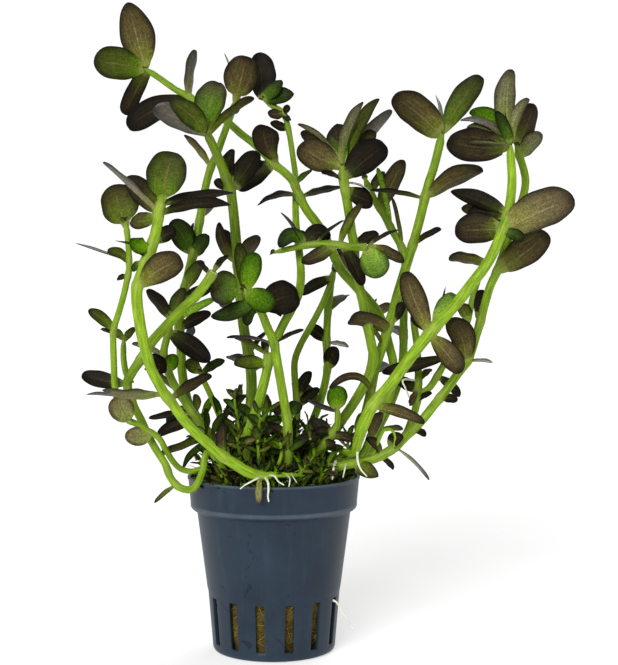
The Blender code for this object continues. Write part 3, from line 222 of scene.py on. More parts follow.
STEMS = [
    Stem(
        "stem_front_arch",
        [(5, 54.6), (0, 54.6), (-4, 54.4), (-8, 55.5), (-12, 58), (-15.5, 60.2), (-20, 64), (-25, 68.5),
         (-28.5, 72.5), (-32, 77.5), (-34, 80), (-36, 83.5), (-38.3, 88), (-40, 94), (-41.2, 99),
         (-42, 104), (-42.6, 109), (-42.5, 113.5), (-40.5, 119.5), (-38.2, 125.5), (-36.8, 130),
         (-36, 134), (-35.7, 136.8), (-34.6, 141.5)],
        depth=(-22, -25, -28, -31, -35, -38, -38, -35, -31),
        width=(1.3, 3.3, 3.1, 3.0, 3.0, 3.3, 3.3, 3.2, 3.0),
        foot=(10.0, -17.0),
    ),
    Stem(
        "stem_left_loop",
        [(-20.5, 62), (-22.5, 55.5), (-24.3, 51.5), (-26.7, 50), (-30, 51), (-32.5, 54), (-34, 58),
         (-36.5, 62), (-39, 66.5), (-41.5, 72), (-44, 77), (-45.8, 83), (-44.5, 86.5), (-41.5, 91),
         (-38, 96.5), (-33, 102), (-28, 107.2), (-24, 111), (-20.5, 115.5), (-18.7, 118.3)],
        depth=(-16, -19, -16, -13, -10, -9, -14, -25, -31, -33),
        width=(2.0, 2.2, 2.2, 2.3, 2.5, 2.8, 3.0, 2.9, 2.7),
        foot=(-14.0, -14.0),
    ),
    Stem(
        "stem_left_thin",
        [(-22, 56.8), (-25.5, 55.8), (-29, 56.5), (-31.5, 58.8), (-33.8, 62.5), (-36, 66.3), (-40, 69),
         (-43.5, 71), (-45.5, 72), (-48.3, 76.5), (-49.6, 82), (-50, 92), (-50.1, 98), (-49.8, 101),
         (-48.5, 105), (-47, 110), (-45.8, 115), (-45, 119.5), (-45.2, 127), (-46, 134)],
        depth=(-8, -9, -13, -16, -19, -21, -23, -24, -24),
        width=(1.7, 1.8, 1.8, 2.0, 1.9, 1.8, 1.7),
        foot=(-17.5, -7.0),
    ),
    Stem(
        "stem_centre_dark",
        [(-9, 63), (-8, 70), (-7, 80), (-7.2, 88), (-8.5, 96), (-9.5, 102), (-10.5, 112), (-11.2, 122),
         (-12, 132), (-12.7, 139), (-13.5, 144), (-15.5, 149.5), (-17.5, 154.5), (-19.3, 158.5),
         (-21, 161.8)],
        depth=(-1, -1, -2, -4, -8, -12, -15),
        width=(3.4, 3.3, 3.1, 2.9, 2.6),
        foot=(-6.0, -1.0),
    ),
    Stem(
        "stem_centre_back",
        [(-20, 63), (-25, 72), (-27.5, 80), (-28.7, 88), (-29, 96), (-29.5, 103), (-28.5, 110),
         (-26.5, 118), (-24.3, 127), (-23, 134), (-22, 140), (-20.8, 146), (-19.3, 151), (-17.5, 155),
         (-15.5, 160.5), (-13.5, 166), (-11.5, 171.5)],
        depth=(10, 11, 12, 14, 16, 19, 21),
        width=(3.0, 2.9, 2.7, 2.4, 2.2),
        foot=(-13.0, 12.0),
    ),
    Stem(
        "stem_fork_left",
        [(4.5, 60), (4.2, 71), (3, 79), (1.8, 86), (0.6, 93), (0, 96.5), (-2, 101), (-4, 106),
         (-7, 110.5), (-9.5, 112.8)],
        depth=(-14, -15, -16, -18, -22, -26),
        width=(2.8, 2.8, 2.8, 2.6, 2.2),
        foot=(4.0, -12.5),
    ),
    Stem(
        "stem_fork_right",
        [(0.6, 96.8), (3, 102), (6.3, 108), (8, 112.5), (8.5, 118), (7.8, 126), (7, 133), (6.8, 141),
         (6.9, 147), (6, 154), (4.9, 161), (3.3, 167), (0.3, 169.3), (-3, 171.8)],
        depth=(-18, -16, -10, -2, 8, 16, 20, 23),
        width=(2.6, 2.6, 2.3, 1.8, 1.8, 2.2),
        trim=2.6,
    ),
    Stem(
        "stem_front_short",
        [(-8.5, 66), (-7, 71), (-5.2, 76), (-3.8, 81), (-2.5, 86), (-1.7, 90.5), (-1.8, 93)],
        depth=(-12, -13, -13, -12),
        width=(3.0, 3.0, 2.7),
        foot=(-7.5, -11.0),
    ),
    Stem(
        "stem_middle_thin",
        [(6, 62), (7, 70), (7.3, 76), (6.7, 83), (6.5, 90), (8, 94.8), (10.5, 99.5), (13, 104),
         (15.5, 109), (17.5, 114), (19, 118.5)],
        depth=(5, 6, 8, 10),
        width=(2.2, 2.2, 2.0),
        foot=(4.5, 5.0),
    ),
    Stem(
        "stem_middle_back",
        [(8, 63), (10, 67.5), (12.5, 72.5), (14.5, 78), (16, 83.5), (16.8, 89), (16.5, 95),
         (16.7, 103), (17.3, 110), (18, 116), (18.8, 119)],
        depth=(14, 15, 15, 16),
        width=(2.6, 2.4, 2.2),
        foot=(6.5, 14.0),
    ),
    Stem(
        "shoot_level",
        [(29, 126), (24, 126), (20.5, 126.7), (15, 127), (10, 126.5), (5, 125.5), (0, 124.3)],
        depth=(-14, -14, -13, -10),
        width=(2.2, 2.1, 1.5),
    ),
    Stem(
        "stem_middle_tall",
        [(15, 63), (18, 67), (21, 71.5), (24.5, 76.5), (27.5, 81.5), (30, 86.5), (31.3, 91),
         (30.5, 95.5), (29.5, 100.5), (28.2, 107), (26.7, 113.5), (25.5, 120), (25, 126.5), (24.2, 131),
         (23.5, 136), (22.6, 141.5), (21.8, 146.5), (21.3, 151.3)],
        depth=(-5, -6, -8, -9, -9, -12, -15),
        width=(3.0, 3.0, 2.9, 2.8),
        foot=(9.5, -4.5),
    ),
    Stem(
        "stem_long_diagonal",
        [(27.5, 61), (30.5, 67), (33.5, 73), (36, 79), (37.3, 84), (37.3, 90), (35.8, 96), (34.3, 101.5),
         (32, 106.3), (29, 110), (25, 114.5), (21, 119), (18, 125), (15, 131), (13, 134), (10, 138),
         (7.5, 143), (6, 146.5), (3, 149.5), (0.5, 151.5), (-5.5, 157.5), (-10, 161), (-14, 164.5),
         (-20, 168.5), (-26, 172.5), (-30, 174.5), (-35, 178), (-39.5, 181)],
        depth=(3, 3, 3, 3, 6, 4, 1, 3, 8, 12),
        width=(2.6, 2.8, 3.2, 3.0, 2.6, 2.2, 1.9),
        foot=(21.0, 4.0),
    ),
    Stem(
        "stem_right_back",
        [(28.5, 61.5), (31, 66), (33.5, 71), (36, 76), (38, 81), (39.5, 86), (40.3, 91), (40.5, 97),
         (40.5, 104), (40.7, 112), (41, 120), (40, 125.5), (37, 131), (34, 136.5), (30.5, 142),
         (28.3, 147.5)],
        depth=(9, 10, 12, 16, 19),
        width=(2.8, 2.8, 2.6, 2.4),
        foot=(16.8, 9.0),
    ),
    Stem(
        "stem_right_tall",
        [(24, 62), (27, 68), (29, 75), (30.3, 81), (31.3, 86.5), (32.7, 91.5), (34.2, 96), (35.5, 100.5),
         (37, 105.5), (38.5, 111), (40.3, 117), (42, 122.5), (43.8, 128.5), (45.3, 134), (46.5, 139),
         (47, 141.5), (48.2, 146), (49.8, 151), (51.2, 156.5), (52.2, 161)],
        depth=(-1, -2, -3, -2, 0, 3),
        width=(3.0, 3.0, 2.8, 2.6),
        foot=(17.0, -1.5),
    ),
    Stem(
        "stem_right_front",
        [(19.5, 62.5), (24.8, 61.5), (26.5, 66), (28, 70.5), (30, 75), (32, 78), (36, 82.5), (40, 88),
         (44.5, 94), (48.5, 99), (52, 103), (57, 108.5), (62, 115), (66.5, 121), (69.5, 127),
         (71.8, 133), (73, 137), (73.7, 142), (74, 147), (73.7, 152), (73.3, 157.5)],
        depth=(-5, -19, -21, -22, -22, -22, -21, -20, -19),
        width=(1.4, 3.6, 3.5, 3.4, 3.4, 3.2, 3.0, 2.7, 2.4),
        foot=(16.0, -6.0),
    ),
    Stem(
        "stem_right_low",
        [(19, 57), (25, 58.5), (30, 59.5), (34, 61), (38, 63.5), (42, 67.5), (46, 71.5), (50, 76.5),
         (54, 81.5), (57.5, 86.5), (60.5, 90.5), (61.5, 93), (63, 98), (64.5, 103), (66, 109),
         (67.5, 114), (69.5, 118.5), (72.5, 127), (74, 132), (75.5, 137), (77.3, 141), (78.2, 146),
         (77.6, 150), (76.3, 154), (75.3, 157.5)],
        depth=(-9, -9, -8, -6, -4, -2, 0, 1, 1),
        width=(2.8, 2.8, 2.8, 2.7, 2.6, 2.4),
        foot=(13.0, -8.5),
    ),
    Stem(
        "stem_right_inner",
        [(38.2, 63.8), (41.3, 67.5), (43, 71.5), (44.3, 75.5), (45, 79.5), (45.2, 84), (45, 90),
         (44.6, 96), (43.9, 101), (43.3, 106)],
        depth=(-5, 0, 6, 10),
        width=(2.4, 2.4, 2.2),
        trim=2.6,
    ),
    Stem(
        "stem_right_branch",
        [(45, 79.8), (48.5, 82), (51.5, 86.5), (54, 91), (57.5, 97), (60.5, 103.5), (62, 110),
         (64, 117), (66, 121)],
        depth=(2, 3, 5, 8),
        width=(2.2, 2.2, 2.0),
        trim=2.6,
    ),
    Stem(
        "shoot_base",
        [(11.5, 60), (15, 64), (18, 67.3), (19.6, 69.5), (20, 73), (19.8, 76.5)],
        depth=(-11, -12, -12),
        width=(2.4, 2.2, 1.6),
        foot=(9.0, -9.5),
    ),
    Stem(
        "stem_left_short",
        [(-10, 61), (-12, 65), (-15.5, 71), (-17.3, 74), (-18.7, 77.5), (-20.3, 81), (-22, 84.5),
         (-23, 87)],
        depth=(5, 4, 3),
        width=(2.0, 2.0, 1.8),
        foot=(-9.0, 5.5),
    ),
    Stem(
        "stem_left_back",
        [(-15, 62), (-22, 70), (-28, 78), (-32, 85), (-34.3, 92), (-33.3, 98), (-32, 103.5)],
        depth=(-3, -4, -5, -5),
        width=(2.4, 2.4, 2.2),
        foot=(-13.0, -4.0),
    ),
    Stem(
        "stem_rear_left",
        [(-8.5, 62), (-8, 70), (-7.2, 80), (-7.4, 90), (-9, 100), (-10.3, 111), (-11, 121)],
        depth=(16, 19, 23, 27),
        width=(2.4, 2.3, 2.0),
        foot=(-6.0, 17.0),
    ),
    Stem(
        "stem_rear_middle",
        [(16, 63), (20.5, 70), (24.5, 76), (28, 82), (30, 88), (30.5, 96), (28.8, 104), (27, 112),
         (25.7, 119)],
        depth=(17, 20, 24, 27),
        width=(2.4, 2.3, 2.0),
        foot=(13.0, 16.5),
    ),
]

LEAVES = {
    "stem_front_arch": [
        Leaf((-16, 59.9), (-15.6, 71.3), 5.0, 132, -2, tone="dusk"),
        Leaf((-4.3, 54.2), (-4.6, 45.6), 2.6, 25, -5, tone="pale", shape="spoon"),
        Leaf((-34.5, 78.7), (-53.7, 81.4), 8.4, 121, -5, 1.9, "sage", "leaf_arch_low", 0.0, "point"),
        Leaf((-32.2, 78.5), (-19.3, 85.9), 6.8, 120, 4, -0.5, "dusk"),
        Leaf((-42, 114), (-28.5, 122), 8.7, 170, -6, 0.8, "brown", "leaf_arch_middle", 0.7),
        Leaf((-39.8, 121.5), (-44.2, 118.8), 3.4, 40, 1, 0, "deep"),
        Leaf((-36, 136.5), (-53, 152.3), 6.0, 112, 3, 0.8, "grey"),
        Leaf((-35.5, 136), (-13.3, 139), 6.6, 58, -2, 0.5, shape="point"),
        Leaf((-34.9, 138.8), (-12.3, 142.8), 6.8, 58, 7, -0.5, shape="point"),
        Leaf((-34.9, 138), (-30.9, 155.4), 11.8, 8, 2, 0.2, "green", "leaf_arch_top", 0.0, "full"),
        Leaf((-35.8, 137.5), (-46.2, 147.2), 7.8, 160, 7, 0, "dusk"),
        Leaf((-36.8, 125), (-44.3, 128.8), 5.2, 25, -2, 1.0, "bright", ahead=1.4, shape="point"),
        Leaf((-38.3, 125.6), (-49.4, 128), 1.5, 60, 2, 0.3, "deep", shape="lance"),
        Leaf((-37.2, 135.4), (-44.4, 134.4), 5.6, 30, 3, 1.0, "fresh"),
        Leaf((-38.4, 124.6), (-42.2, 124.2), 3.4, 40, -1, 0, "bright", shape="point"),
        Leaf((-37.5, 127.5), (-30.3, 131.5), 5.0, 150, 2),
    ],
    "stem_left_loop": [
        Leaf((-31, 51.5), (-37.5, 45.8), 2.0, 40, -2, 0, "green"),
        Leaf((-33, 56), (-31.5, 52), 2.0, 60, 0, 0, "green"),
        Leaf((-45.8, 83), (-60, 86.3), 5.4, 20, 2, 0.5, "dark", "leaf_loop_left"),
        Leaf((-44.5, 78.5), (-58.5, 80), 3.0, 72, 2, 0, "grey"),
        Leaf((-41.7, 91), (-33.4, 88.3), 6.0, 25, 6),
        Leaf((-19.2, 118), (-14, 123.5), 4.0, 120, -1),
        Leaf((-19.5, 117), (-24, 121), 4.0, 120, 1),
    ],
    "twig_left_upright": [
        Leaf((-46.9, 96.6), (-43, 100.8), 3.6, 130, 1, 0, "olive"),
        Leaf((-46.9, 96.8), (-50.2, 100.4), 3.0, 40, 1, 0, "green"),
    ],
    "stem_left_thin": [
        Leaf((-45.3, 71.8), (-49.7, 79.3), 7.6, 12, -3, 0, "pale", ahead=1.6, shape="round"),
        Leaf((-38.4, 67.4), (-46.4, 68), 5.9, 14, -3, 1.2, "pale", shape="round"),
        Leaf((-49.8, 100.5), (-57.8, 106.5), 4.2, 35, -2, 0, "green"),
        Leaf((-50, 99), (-54, 100.5), 2.4, 60, 1),
        Leaf((-45, 121), (-51.8, 124.6), 3.8, 40, -2, -0.8, "green"),
        Leaf((-45.2, 121.5), (-61.5, 127.2), 2.6, 76, 2, 0.8, "grey"),
        Leaf((-45.6, 117), (-48.8, 116), 2.4, 40, 1),
        Leaf((-45.4, 132), (-49.6, 145.4), 12.2, 168, 2, 0.3, "olive", "leaf_thin_top", 0.0, "full"),
    ],
    "stem_centre_dark": [
        Leaf((-20.8, 160.6), (-37.3, 168.6), 8.0, 152, 2, -0.4, "grey", "leaf_dark_left", 2.5),
        Leaf((-20.8, 161.4), (-32.2, 171.2), 7.2, 16, -2, -0.6, "green", ahead=3.2, shape="point"),
        Leaf((-21, 161.8), (-17, 176.9), 9.8, 16, 4, 0.5, "turning", "leaf_dark_top"),
        Leaf((-20.3, 160.5), (-6, 172.2), 5.4, 108, -3, 0, "olive", shape="strap"),
        Leaf((-13.3, 143.5), (-18.5, 146.5), 3.6, 30, -1),
        Leaf((-13.5, 144), (-5.3, 155.8), 7.6, 158, -2, -0.8, shape="broad"),
        Leaf((-13.6, 144.4), (-12.6, 156.4), 5.0, 34, 2, 0.6, shape="broad"),
        Leaf((-13.5, 143.8), (-3.2, 152.4), 5.0, 150, 3, 0.6, shape="broad"),
        Leaf((-14.6, 147.5), (-15.2, 154.6), 3.2, 40, 3, 0, "deep", shape="point"),
        Leaf((-11.2, 120.4), (-16.9, 133.8), 4.6, 155, -3, 1.8, "dusk", shape="point"),
        Leaf((-7.8, 92), (-2.2, 99.5), 3.6, 120, 4),
    ],
    "stem_centre_back": [
        Leaf((-19.5, 150.5), (-27.8, 160.7), 4.0, 130, 1, 0, "brown"),
        Leaf((-11.4, 169.8), (-8.2, 184.9), 11.2, 168, -3, 0, "brown", "leaf_back_top", 0.6, "full"),
        Leaf((-11.6, 171.2), (-15.2, 185.8), 2.2, 70, 5, 0, "grey", shape="strap"),
        Leaf((-3.6, 171.2), (-11.4, 167.2), 4.4, 50, 1, -0.5, "deep", shape="point"),
        Leaf((-25, 124), (-31.6, 134.4), 7.8, 15, -3, 0, "deep"),
        Leaf((-25.3, 123), (-20, 129.6), 5.6, 20, -5, 0, "deep"),
        Leaf((-25.2, 125), (-24.8, 133.6), 2.6, 40, -1, 0.4, shape="point"),
        Leaf((-28, 113), (-21.6, 121.5), 5.6, 30, -5, 0, "green"),
        Leaf((-29.3, 103.5), (-18, 110), 3.0, 30, -4, 0, "stemmy"),
        Leaf((-29.2, 101), (-19.5, 105.5), 4.4, 25, -5),
        Leaf((-28.6, 109.5), (-19, 113.5), 4.6, 20, -3),
        Leaf((-22, 140), (-30, 139), 5.0, 120, 8, 0, "brown"),
        Leaf((-29, 96), (-24.5, 99.5), 7.0, 110, 12),
        Leaf((-23, 134), (-18.5, 138.5), 7.0, 110, 12, 0, "brown"),
        Leaf((-26.5, 76), (-33.5, 70.5), 5.4, 40, 4),
    ],
    "stem_fork_left": [
        Leaf((0.2, 95.8), (-14.8, 97.8), 3.0, 74, -2),
        Leaf((0.4, 96), (9.5, 100.2), 3.0, 66, -2),
        Leaf((-8.3, 112), (-5.8, 124.4), 6.6, 10, 3, 0, "bright", "leaf_rosette_up", 0.2),
        Leaf((-8.6, 111.8), (0, 107), 7.2, 10, -2, 0, "bright", ahead=1.6),
        Leaf((-9.3, 112.6), (-19.7, 113.6), 10.2, 8, 1, 0, "turning", "leaf_rosette_left", 1.2, "full"),
        Leaf((-5, 107.5), (7.6, 111.5), 10.6, 14, 5, 0, "dark", "leaf_rosette_right"),
        Leaf((-6.6, 109), (-19.6, 104.4), 5.4, 18, 1, 1.2, "deep", shape="point"),
        Leaf((-6.4, 109), (-8.6, 101.6), 4.4, 30, 2, 0, "deep"),
        Leaf((-6, 108.5), (2.4, 104.4), 3.6, 40, 2, 0.6, shape="point"),
        Leaf((-8.8, 112.5), (-10.6, 127.4), 4.6, 20, 7, 0.4, "green", ahead=-1.6),
        Leaf((6.3, 62), (4.5, 68.7), 1.7, 30, -2, 0, "fresh", ahead=2.0, shape="lance"),
        Leaf((6.3, 62), (10.8, 66), 2.4, 35, -1, 0, "deep", ahead=2.0, shape="point"),
        Leaf((6.3, 62), (1.6, 65.2), 2.2, 50, -1, -0.5, "deep", ahead=2.0, shape="point"),
        Leaf((6.3, 61.6), (13.6, 67.4), 3.0, 40, 1, -0.6, ahead=1.0, shape="point"),
        Leaf((4.2, 72.6), (7.9, 77.6), 4.6, 20, 5, 0, "deep"),
        Leaf((4.2, 73), (0.4, 75.6), 3.6, 30, 4),
        Leaf((4.4, 63.5), (-4.6, 66.8), 4.0, 40, -2, 0.5, "green"),
        Leaf((4.4, 63.5), (14.2, 66.2), 4.0, 40, -2, 0.5),
        Leaf((4.3, 68), (-3, 71), 3.6, 50, 2, 0.5),
    ],
    "stem_fork_right": [
        Leaf((3.9, 162.6), (-1, 164.6), 3.8, 30, -2, 0.5),
        Leaf((3.4, 162.6), (-0.4, 164.6), 2.0, 60, 1, shape="point"),
        Leaf((3.2, 167.2), (-1.8, 167.8), 4.0, 24, -2, 0.8, "dusk", ahead=1.0),
        Leaf((3.2, 167), (5.2, 169.4), 2.6, 24, -2, 0.3, ahead=1.2, shape="round"),
        Leaf((3.2, 167.6), (5.5, 165.2), 2.8, 40, -1, -0.6, ahead=1.0, shape="point"),
        Leaf((-3.6, 172.6), (-5.2, 185.9), 9.4, 162, 6, -0.3, "dark", "leaf_fork_top", -1.5, "broad"),
        Leaf((-3.2, 173.2), (6.4, 173.4), 6.4, 22, -1, -0.3, "deep", ahead=1.0, shape="point"),
        Leaf((-3.6, 173.6), (2.6, 177.6), 5.6, 24, -1, -0.6, "deep", ahead=0.8, shape="point"),
    ],
    "stem_front_short": [
        Leaf((-1.9, 92), (-12.3, 97.8), 4.0, 120, -2, 0, "olive"),
        Leaf((-1.9, 92.8), (-3.8, 97), 3.0, 40, -2),
        Leaf((-2, 89.5), (-12.5, 89.5), 5.4, 38, -3, 0, "green"),
        Leaf((-6.5, 72.5), (-11.5, 76.5), 3.8, 40, -2, 0, "deep"),
        Leaf((2.6, 63.6), (-5.8, 67), 3.0, 40, -2, 0, "deep", shape="point"),
    ],
    "stem_middle_thin": [
        Leaf((7, 79), (11.6, 87.3), 4.4, 30, 1),
        Leaf((7.3, 76), (14.2, 82), 4.0, 35, 3),
        Leaf((18.4, 116.6), (8.3, 111.2), 4.6, 35, -1),
        Leaf((19, 118.5), (21.5, 124.5), 4.0, 110, 2),
    ],
    "stem_middle_back": [
        Leaf((16.7, 88), (19.5, 95), 5.4, 15, -3),
        Leaf((16.4, 97), (10.4, 101.5), 4.6, 25, -2),
        Leaf((16.4, 96), (23.4, 94.8), 4.0, 70, -2, 0, "grey"),
        Leaf((14, 77), (6, 84), 5.0, 40, 8, 0, "green"),
        Leaf((17, 106), (22.5, 111), 7.0, 60, 12, 0, "olive"),
    ],
    "shoot_level": [
        Leaf((20.5, 126.7), (27.5, 139.7), 4.2, 130, -2, 0, "olive"),
        Leaf((21.5, 126.4), (27.7, 114), 5.0, 30, -2),
        Leaf((28.5, 126), (33.2, 116.5), 9.0, 12, -3, 0, "light", "leaf_level_round"),
        Leaf((10.6, 126.6), (1.8, 125.8), 5.0, 24, -2, -3.2, "deep", ahead=-1.0),
        Leaf((9.4, 126.6), (17.6, 128.6), 5.6, 20, 3, 2.6, ahead=-1.0),
        Leaf((10.2, 126.6), (6.6, 131), 4.2, 24, 4, ahead=-1.5),
        Leaf((18.6, 126.4), (8.6, 121.2), 5.0, 26, -3, 1.0, "dusk", shape="broad"),
        Leaf((9, 126.5), (2.2, 136.8), 3.0, 70, 2),
        Leaf((13, 127), (22, 134.3), 3.0, 70, 1),
        Leaf((28.8, 126), (40.7, 121.3), 5.4, 135, -1, 0, "brown"),
        Leaf((28.8, 126.2), (38.8, 131.3), 3.6, 68, 1),
    ],
    "stem_middle_tall": [
        Leaf((21.4, 150.5), (8.2, 157.9), 9.6, 160, -2, 0.9, "brown", "leaf_tall_left"),
        Leaf((21.6, 150.5), (8.4, 161.6), 6.0, 150, 5, 0, "dusk"),
        Leaf((21.4, 152), (7.4, 164), 3.6, 112, 2, -0.9, "sage", shape="strap"),
        Leaf((21.3, 151), (27.8, 171), 7.0, 120, -1, 0.5, "sage", shape="point"),
        Leaf((21.6, 150), (32.6, 172), 6.0, 40, 6, 0.6, "green"),
        Leaf((21.8, 149), (36.8, 168.3), 5.8, 130, 9, 0, "grey"),
        Leaf((21.8, 148.5), (31.2, 162), 6.6, 30, 5, 0, "olive"),
        Leaf((21.3, 151), (17.4, 160.6), 4.6, 26, 3, 0, "turning", shape="point"),
        Leaf((21.5, 151), (22.8, 161.5), 4.4, 36, 4, 0, "bright", shape="point"),
        Leaf((21.6, 147.5), (34.6, 157.8), 10.4, 155, -3, 0, "dark", "leaf_tall_right", 0.9, "round"),
        Leaf((21.8, 147), (14.8, 149), 3.6, 60, -3),
        Leaf((22.4, 143.6), (30.8, 139.8), 6.4, 24, 4, -0.5),
        Leaf((22.2, 151), (19.6, 164.2), 9.6, 155, 7, 0.8, "dusk", ahead=-1.4, shape="round"),
        Leaf((22, 146), (30, 142.8), 2.0, 74, 2, 0.6, "grey", shape="strap"),
        Leaf((30.2, 102), (33.4, 96.4), 3.0, 60, 3, 0, "olive"),
        Leaf((25, 125.5), (32.5, 130.5), 5.0, 40, 2),
    ],
    "stem_long_diagonal": [
        Leaf((7.8, 142.2), (-5.1, 138.9), 5.2, 64, -3, -0.7, shape="lance"),
        Leaf((8.2, 141.4), (21.4, 144.6), 5.2, 66, 2, -0.4, shape="point"),
        Leaf((6.6, 145), (12, 150), 3.0, 50, 3, 0, "deep", shape="point"),
        Leaf((0.2, 150.8), (-2.8, 163.8), 8.8, 165, -3, 1.2, "dusk", "leaf_diagonal_middle", 1.8, "spoon"),
        Leaf((0, 152), (-11.3, 144), 7.6, 25, 2),
        Leaf((30.4, 66.8), (33.6, 74.5), 4.8, 155, -4, 0.3, "brown", ahead=4.0),
        Leaf((-26, 172.5), (-45, 162.8), 8.6, 12, 4, -1.0, "dark", "leaf_diagonal_low", -1.7, "spoon"),
        Leaf((-26, 172.8), (-23.8, 186.8), 5.6, 120, 4, 0, "grey", shape="strap"),
        Leaf((-39.5, 181), (-45, 201.4), 11.4, 170, -2, 0.2, "brown", "leaf_diagonal_top", 0.0, "point"),
        Leaf((-39.6, 181), (-55.6, 183.3), 10.8, 10, -6, 0, "green", "leaf_diagonal_left", 0.0, "round"),
        Leaf((-39, 180.6), (-46, 166.8), 5.8, 150, 5, 0, "dusk", shape="strap"),
    ],
    "stem_right_back": [
        Leaf((40, 125.4), (36.7, 141.5), 2.0, 40, 1, 0.2, "olive", shape="strap"),
        Leaf((37.4, 141), (40.5, 153), 6.4, 160, 1, 0, "brown"),
        Leaf((36.4, 132.5), (32.2, 150.6), 2.2, 20, 3, 0, "stemmy", shape="strap"),
        Leaf((30.3, 142.3), (34.2, 149.5), 3.8, 40, 3, 0, "dusk"),
        Leaf((32.6, 68.5), (40.5, 69), 4.4, 120, 2, 0, "olive"),
        Leaf((41, 119), (41.6, 125), 7.0, 110, 12, 0, "brown"),
        Leaf((40.5, 98), (36, 101), 7.0, 60, 12),
    ],
    "stem_right_tall": [
        Leaf((35.6, 100.5), (23.6, 103.4), 5.8, 146, -13, -0.4, "brown", ahead=2.0, shape="strap"),
        Leaf((36, 102), (40.9, 108.6), 4.6, 25, -2),
        Leaf((47, 141.5), (65.1, 149.8), 8.6, 138, -2, 0.8, "brown", "leaf_right_middle", 0.5),
        Leaf((47, 141), (30, 143.6), 4.4, 106, -2, 0.4, "dusk"),
        Leaf((52, 160.5), (37, 172.6), 10.6, 160, -2, -0.5, "brown", "leaf_right_top_left", 0.0, "broad"),
        Leaf((52.2, 161), (64.4, 178.7), 8.0, 22, 2, 0.4, "green", "leaf_right_top"),
        Leaf((52, 160.5), (50.2, 173), 3.4, 60, 5, 0, "grey"),
        Leaf((43.6, 126.6), (52.2, 131.6), 3.6, 60, -2, shape="strap"),
        Leaf((26, 66), (27.6, 74.3), 3.4, 40, -2, 0, "bright"),
    ],
    "stem_right_front": [
        Leaf((31.6, 79.4), (17.2, 81.8), 3.1, 48, -3, -4.6, "dusk", shape="full"),
        Leaf((31, 76.5), (47.2, 71), 5.2, 140, -3, 0, "brown"),
        Leaf((48.5, 99), (41, 118.4), 7.2, 165, -2, 0.6, "brown", "leaf_front_middle", 0.5),
        Leaf((50, 101), (56.2, 111.6), 5.8, 20, 3, 0, "light"),
        Leaf((49.2, 100.5), (53.5, 113.8), 1.6, 40, 6, -0.8, shape="lance"),
        Leaf((48.7, 99.4), (43.2, 104.6), 4.6, 30, 4),
        Leaf((48.8, 99), (58.8, 87), 7.0, 160, -5, 0, "brown", "leaf_front_hanging", 0.5),
        Leaf((71.5, 131.5), (93.5, 140.8), 12.2, 162, -3, 0.4, "tan", "leaf_front_right", 0.7, "broad"),
        Leaf((71.4, 131.6), (56.3, 131), 9.8, 162, 1, 0, "dusk", "leaf_front_left", 0.0, "broad"),
        Leaf((72.9, 136), (54.9, 143.2), 6.0, 150, 3, -0.4, shape="point"),
        Leaf((72.4, 135), (60.4, 137.4), 5.6, 40, 7),
        Leaf((71.5, 132), (58.6, 138.6), 5.4, 30, 10, 0, "olive", ahead=-1.0),
        Leaf((71.8, 131), (77.9, 128.3), 4.0, 16, -1, 0, "deep", ahead=1.0, shape="round"),
        Leaf((73.3, 157), (54, 159.2), 11.0, 155, -2, 1.4, "dusk", "leaf_cluster_left", 0.6),
        Leaf((73.3, 157.5), (59.8, 158.3), 3.0, 66, -1, 0.4, "sage", ahead=1.6, shape="strap"),
        Leaf((72, 157.5), (73.8, 180.9), 7.8, 155, 2, 1.0, "sage", "leaf_cluster_top", 0.0, "oval"),
        Leaf((73.3, 159.4), (60.6, 167.8), 6.4, 20, 6, -2.2, "bright", ahead=-1.5),
        Leaf((73.3, 158.4), (57.8, 165.2), 5.0, 52, 4, -1.8, "grey", ahead=-0.5),
        Leaf((73.3, 158), (59.8, 163), 6.4, 40, 3, -0.6, "sage", ahead=0.2),
        Leaf((73.3, 157.5), (60.8, 161.6), 4.6, 140, 3, 0.6, "olive"),
        Leaf((73.3, 158), (79.0, 172.0), 5.0, 44, 3, 1.0, "sage", ahead=-0.6),
        Leaf((72.4, 158), (68.8, 168.1), 4.2, 20, 1, 0, "deep", ahead=1.4),
        Leaf((73.5, 158.5), (70.4, 174.4), 2.6, 40, 5, 0, "green", shape="point"),
    ],
    "stem_right_low": [
        Leaf((38, 63.5), (48.7, 53), 2.6, 70, -2, 0, "grey"),
        Leaf((36.4, 62.6), (40.6, 66.6), 4.4, 30, -3, 1.4),
        Leaf((34, 61.2), (28.8, 66.2), 3.4, 40, -3, -0.6, "dusk"),
        Leaf((43.4, 68.6), (47.6, 66.8), 1.8, 50, -2, shape="strap"),
        Leaf((31.5, 60), (33, 65), 2.4, 30, 3),
        Leaf((33.2, 60.6), (37.6, 56.6), 2.4, 40, 2, shape="strap"),
        Leaf((25.4, 58.6), (32.8, 54.1), 5.2, 22, -6, -0.4, "olive", shape="point"),
        Leaf((44, 69.5), (47.6, 67), 2.6, 40, -1),
        Leaf((60.5, 90.5), (54.3, 103.3), 8.4, 158, -2, -1.4, "brown", "leaf_low_middle", 2.4),
        Leaf((60.6, 90.5), (68.4, 90), 3.0, 72, -2, 0, "grey"),
        Leaf((63.4, 103.4), (65.2, 112.8), 4.6, 160, 3, shape="strap"),
        Leaf((69.5, 118.5), (85.2, 130.4), 10.2, 160, -2, -0.8, "brown", "leaf_low_right", 1.1, "broad"),
        Leaf((75.6, 154.2), (83.4, 160.9), 6.6, 152, 3, 0, "sage"),
        Leaf((75.3, 157), (80.5, 170.4), 9.4, 154, 2, -0.6, "dusk"),
        Leaf((52, 79), (57.5, 78), 3.6, 40, -2),
        Leaf((19.6, 57.4), (18.1, 53.2), 2.2, 30, -3, 0, "pale", ahead=5.0, shape="strap"),
    ],
    "stem_right_inner": [
        Leaf((44.8, 78), (49.5, 80.3), 3.2, 60, -3),
        Leaf((45, 81), (38.8, 84.5), 4.6, 30, 2),
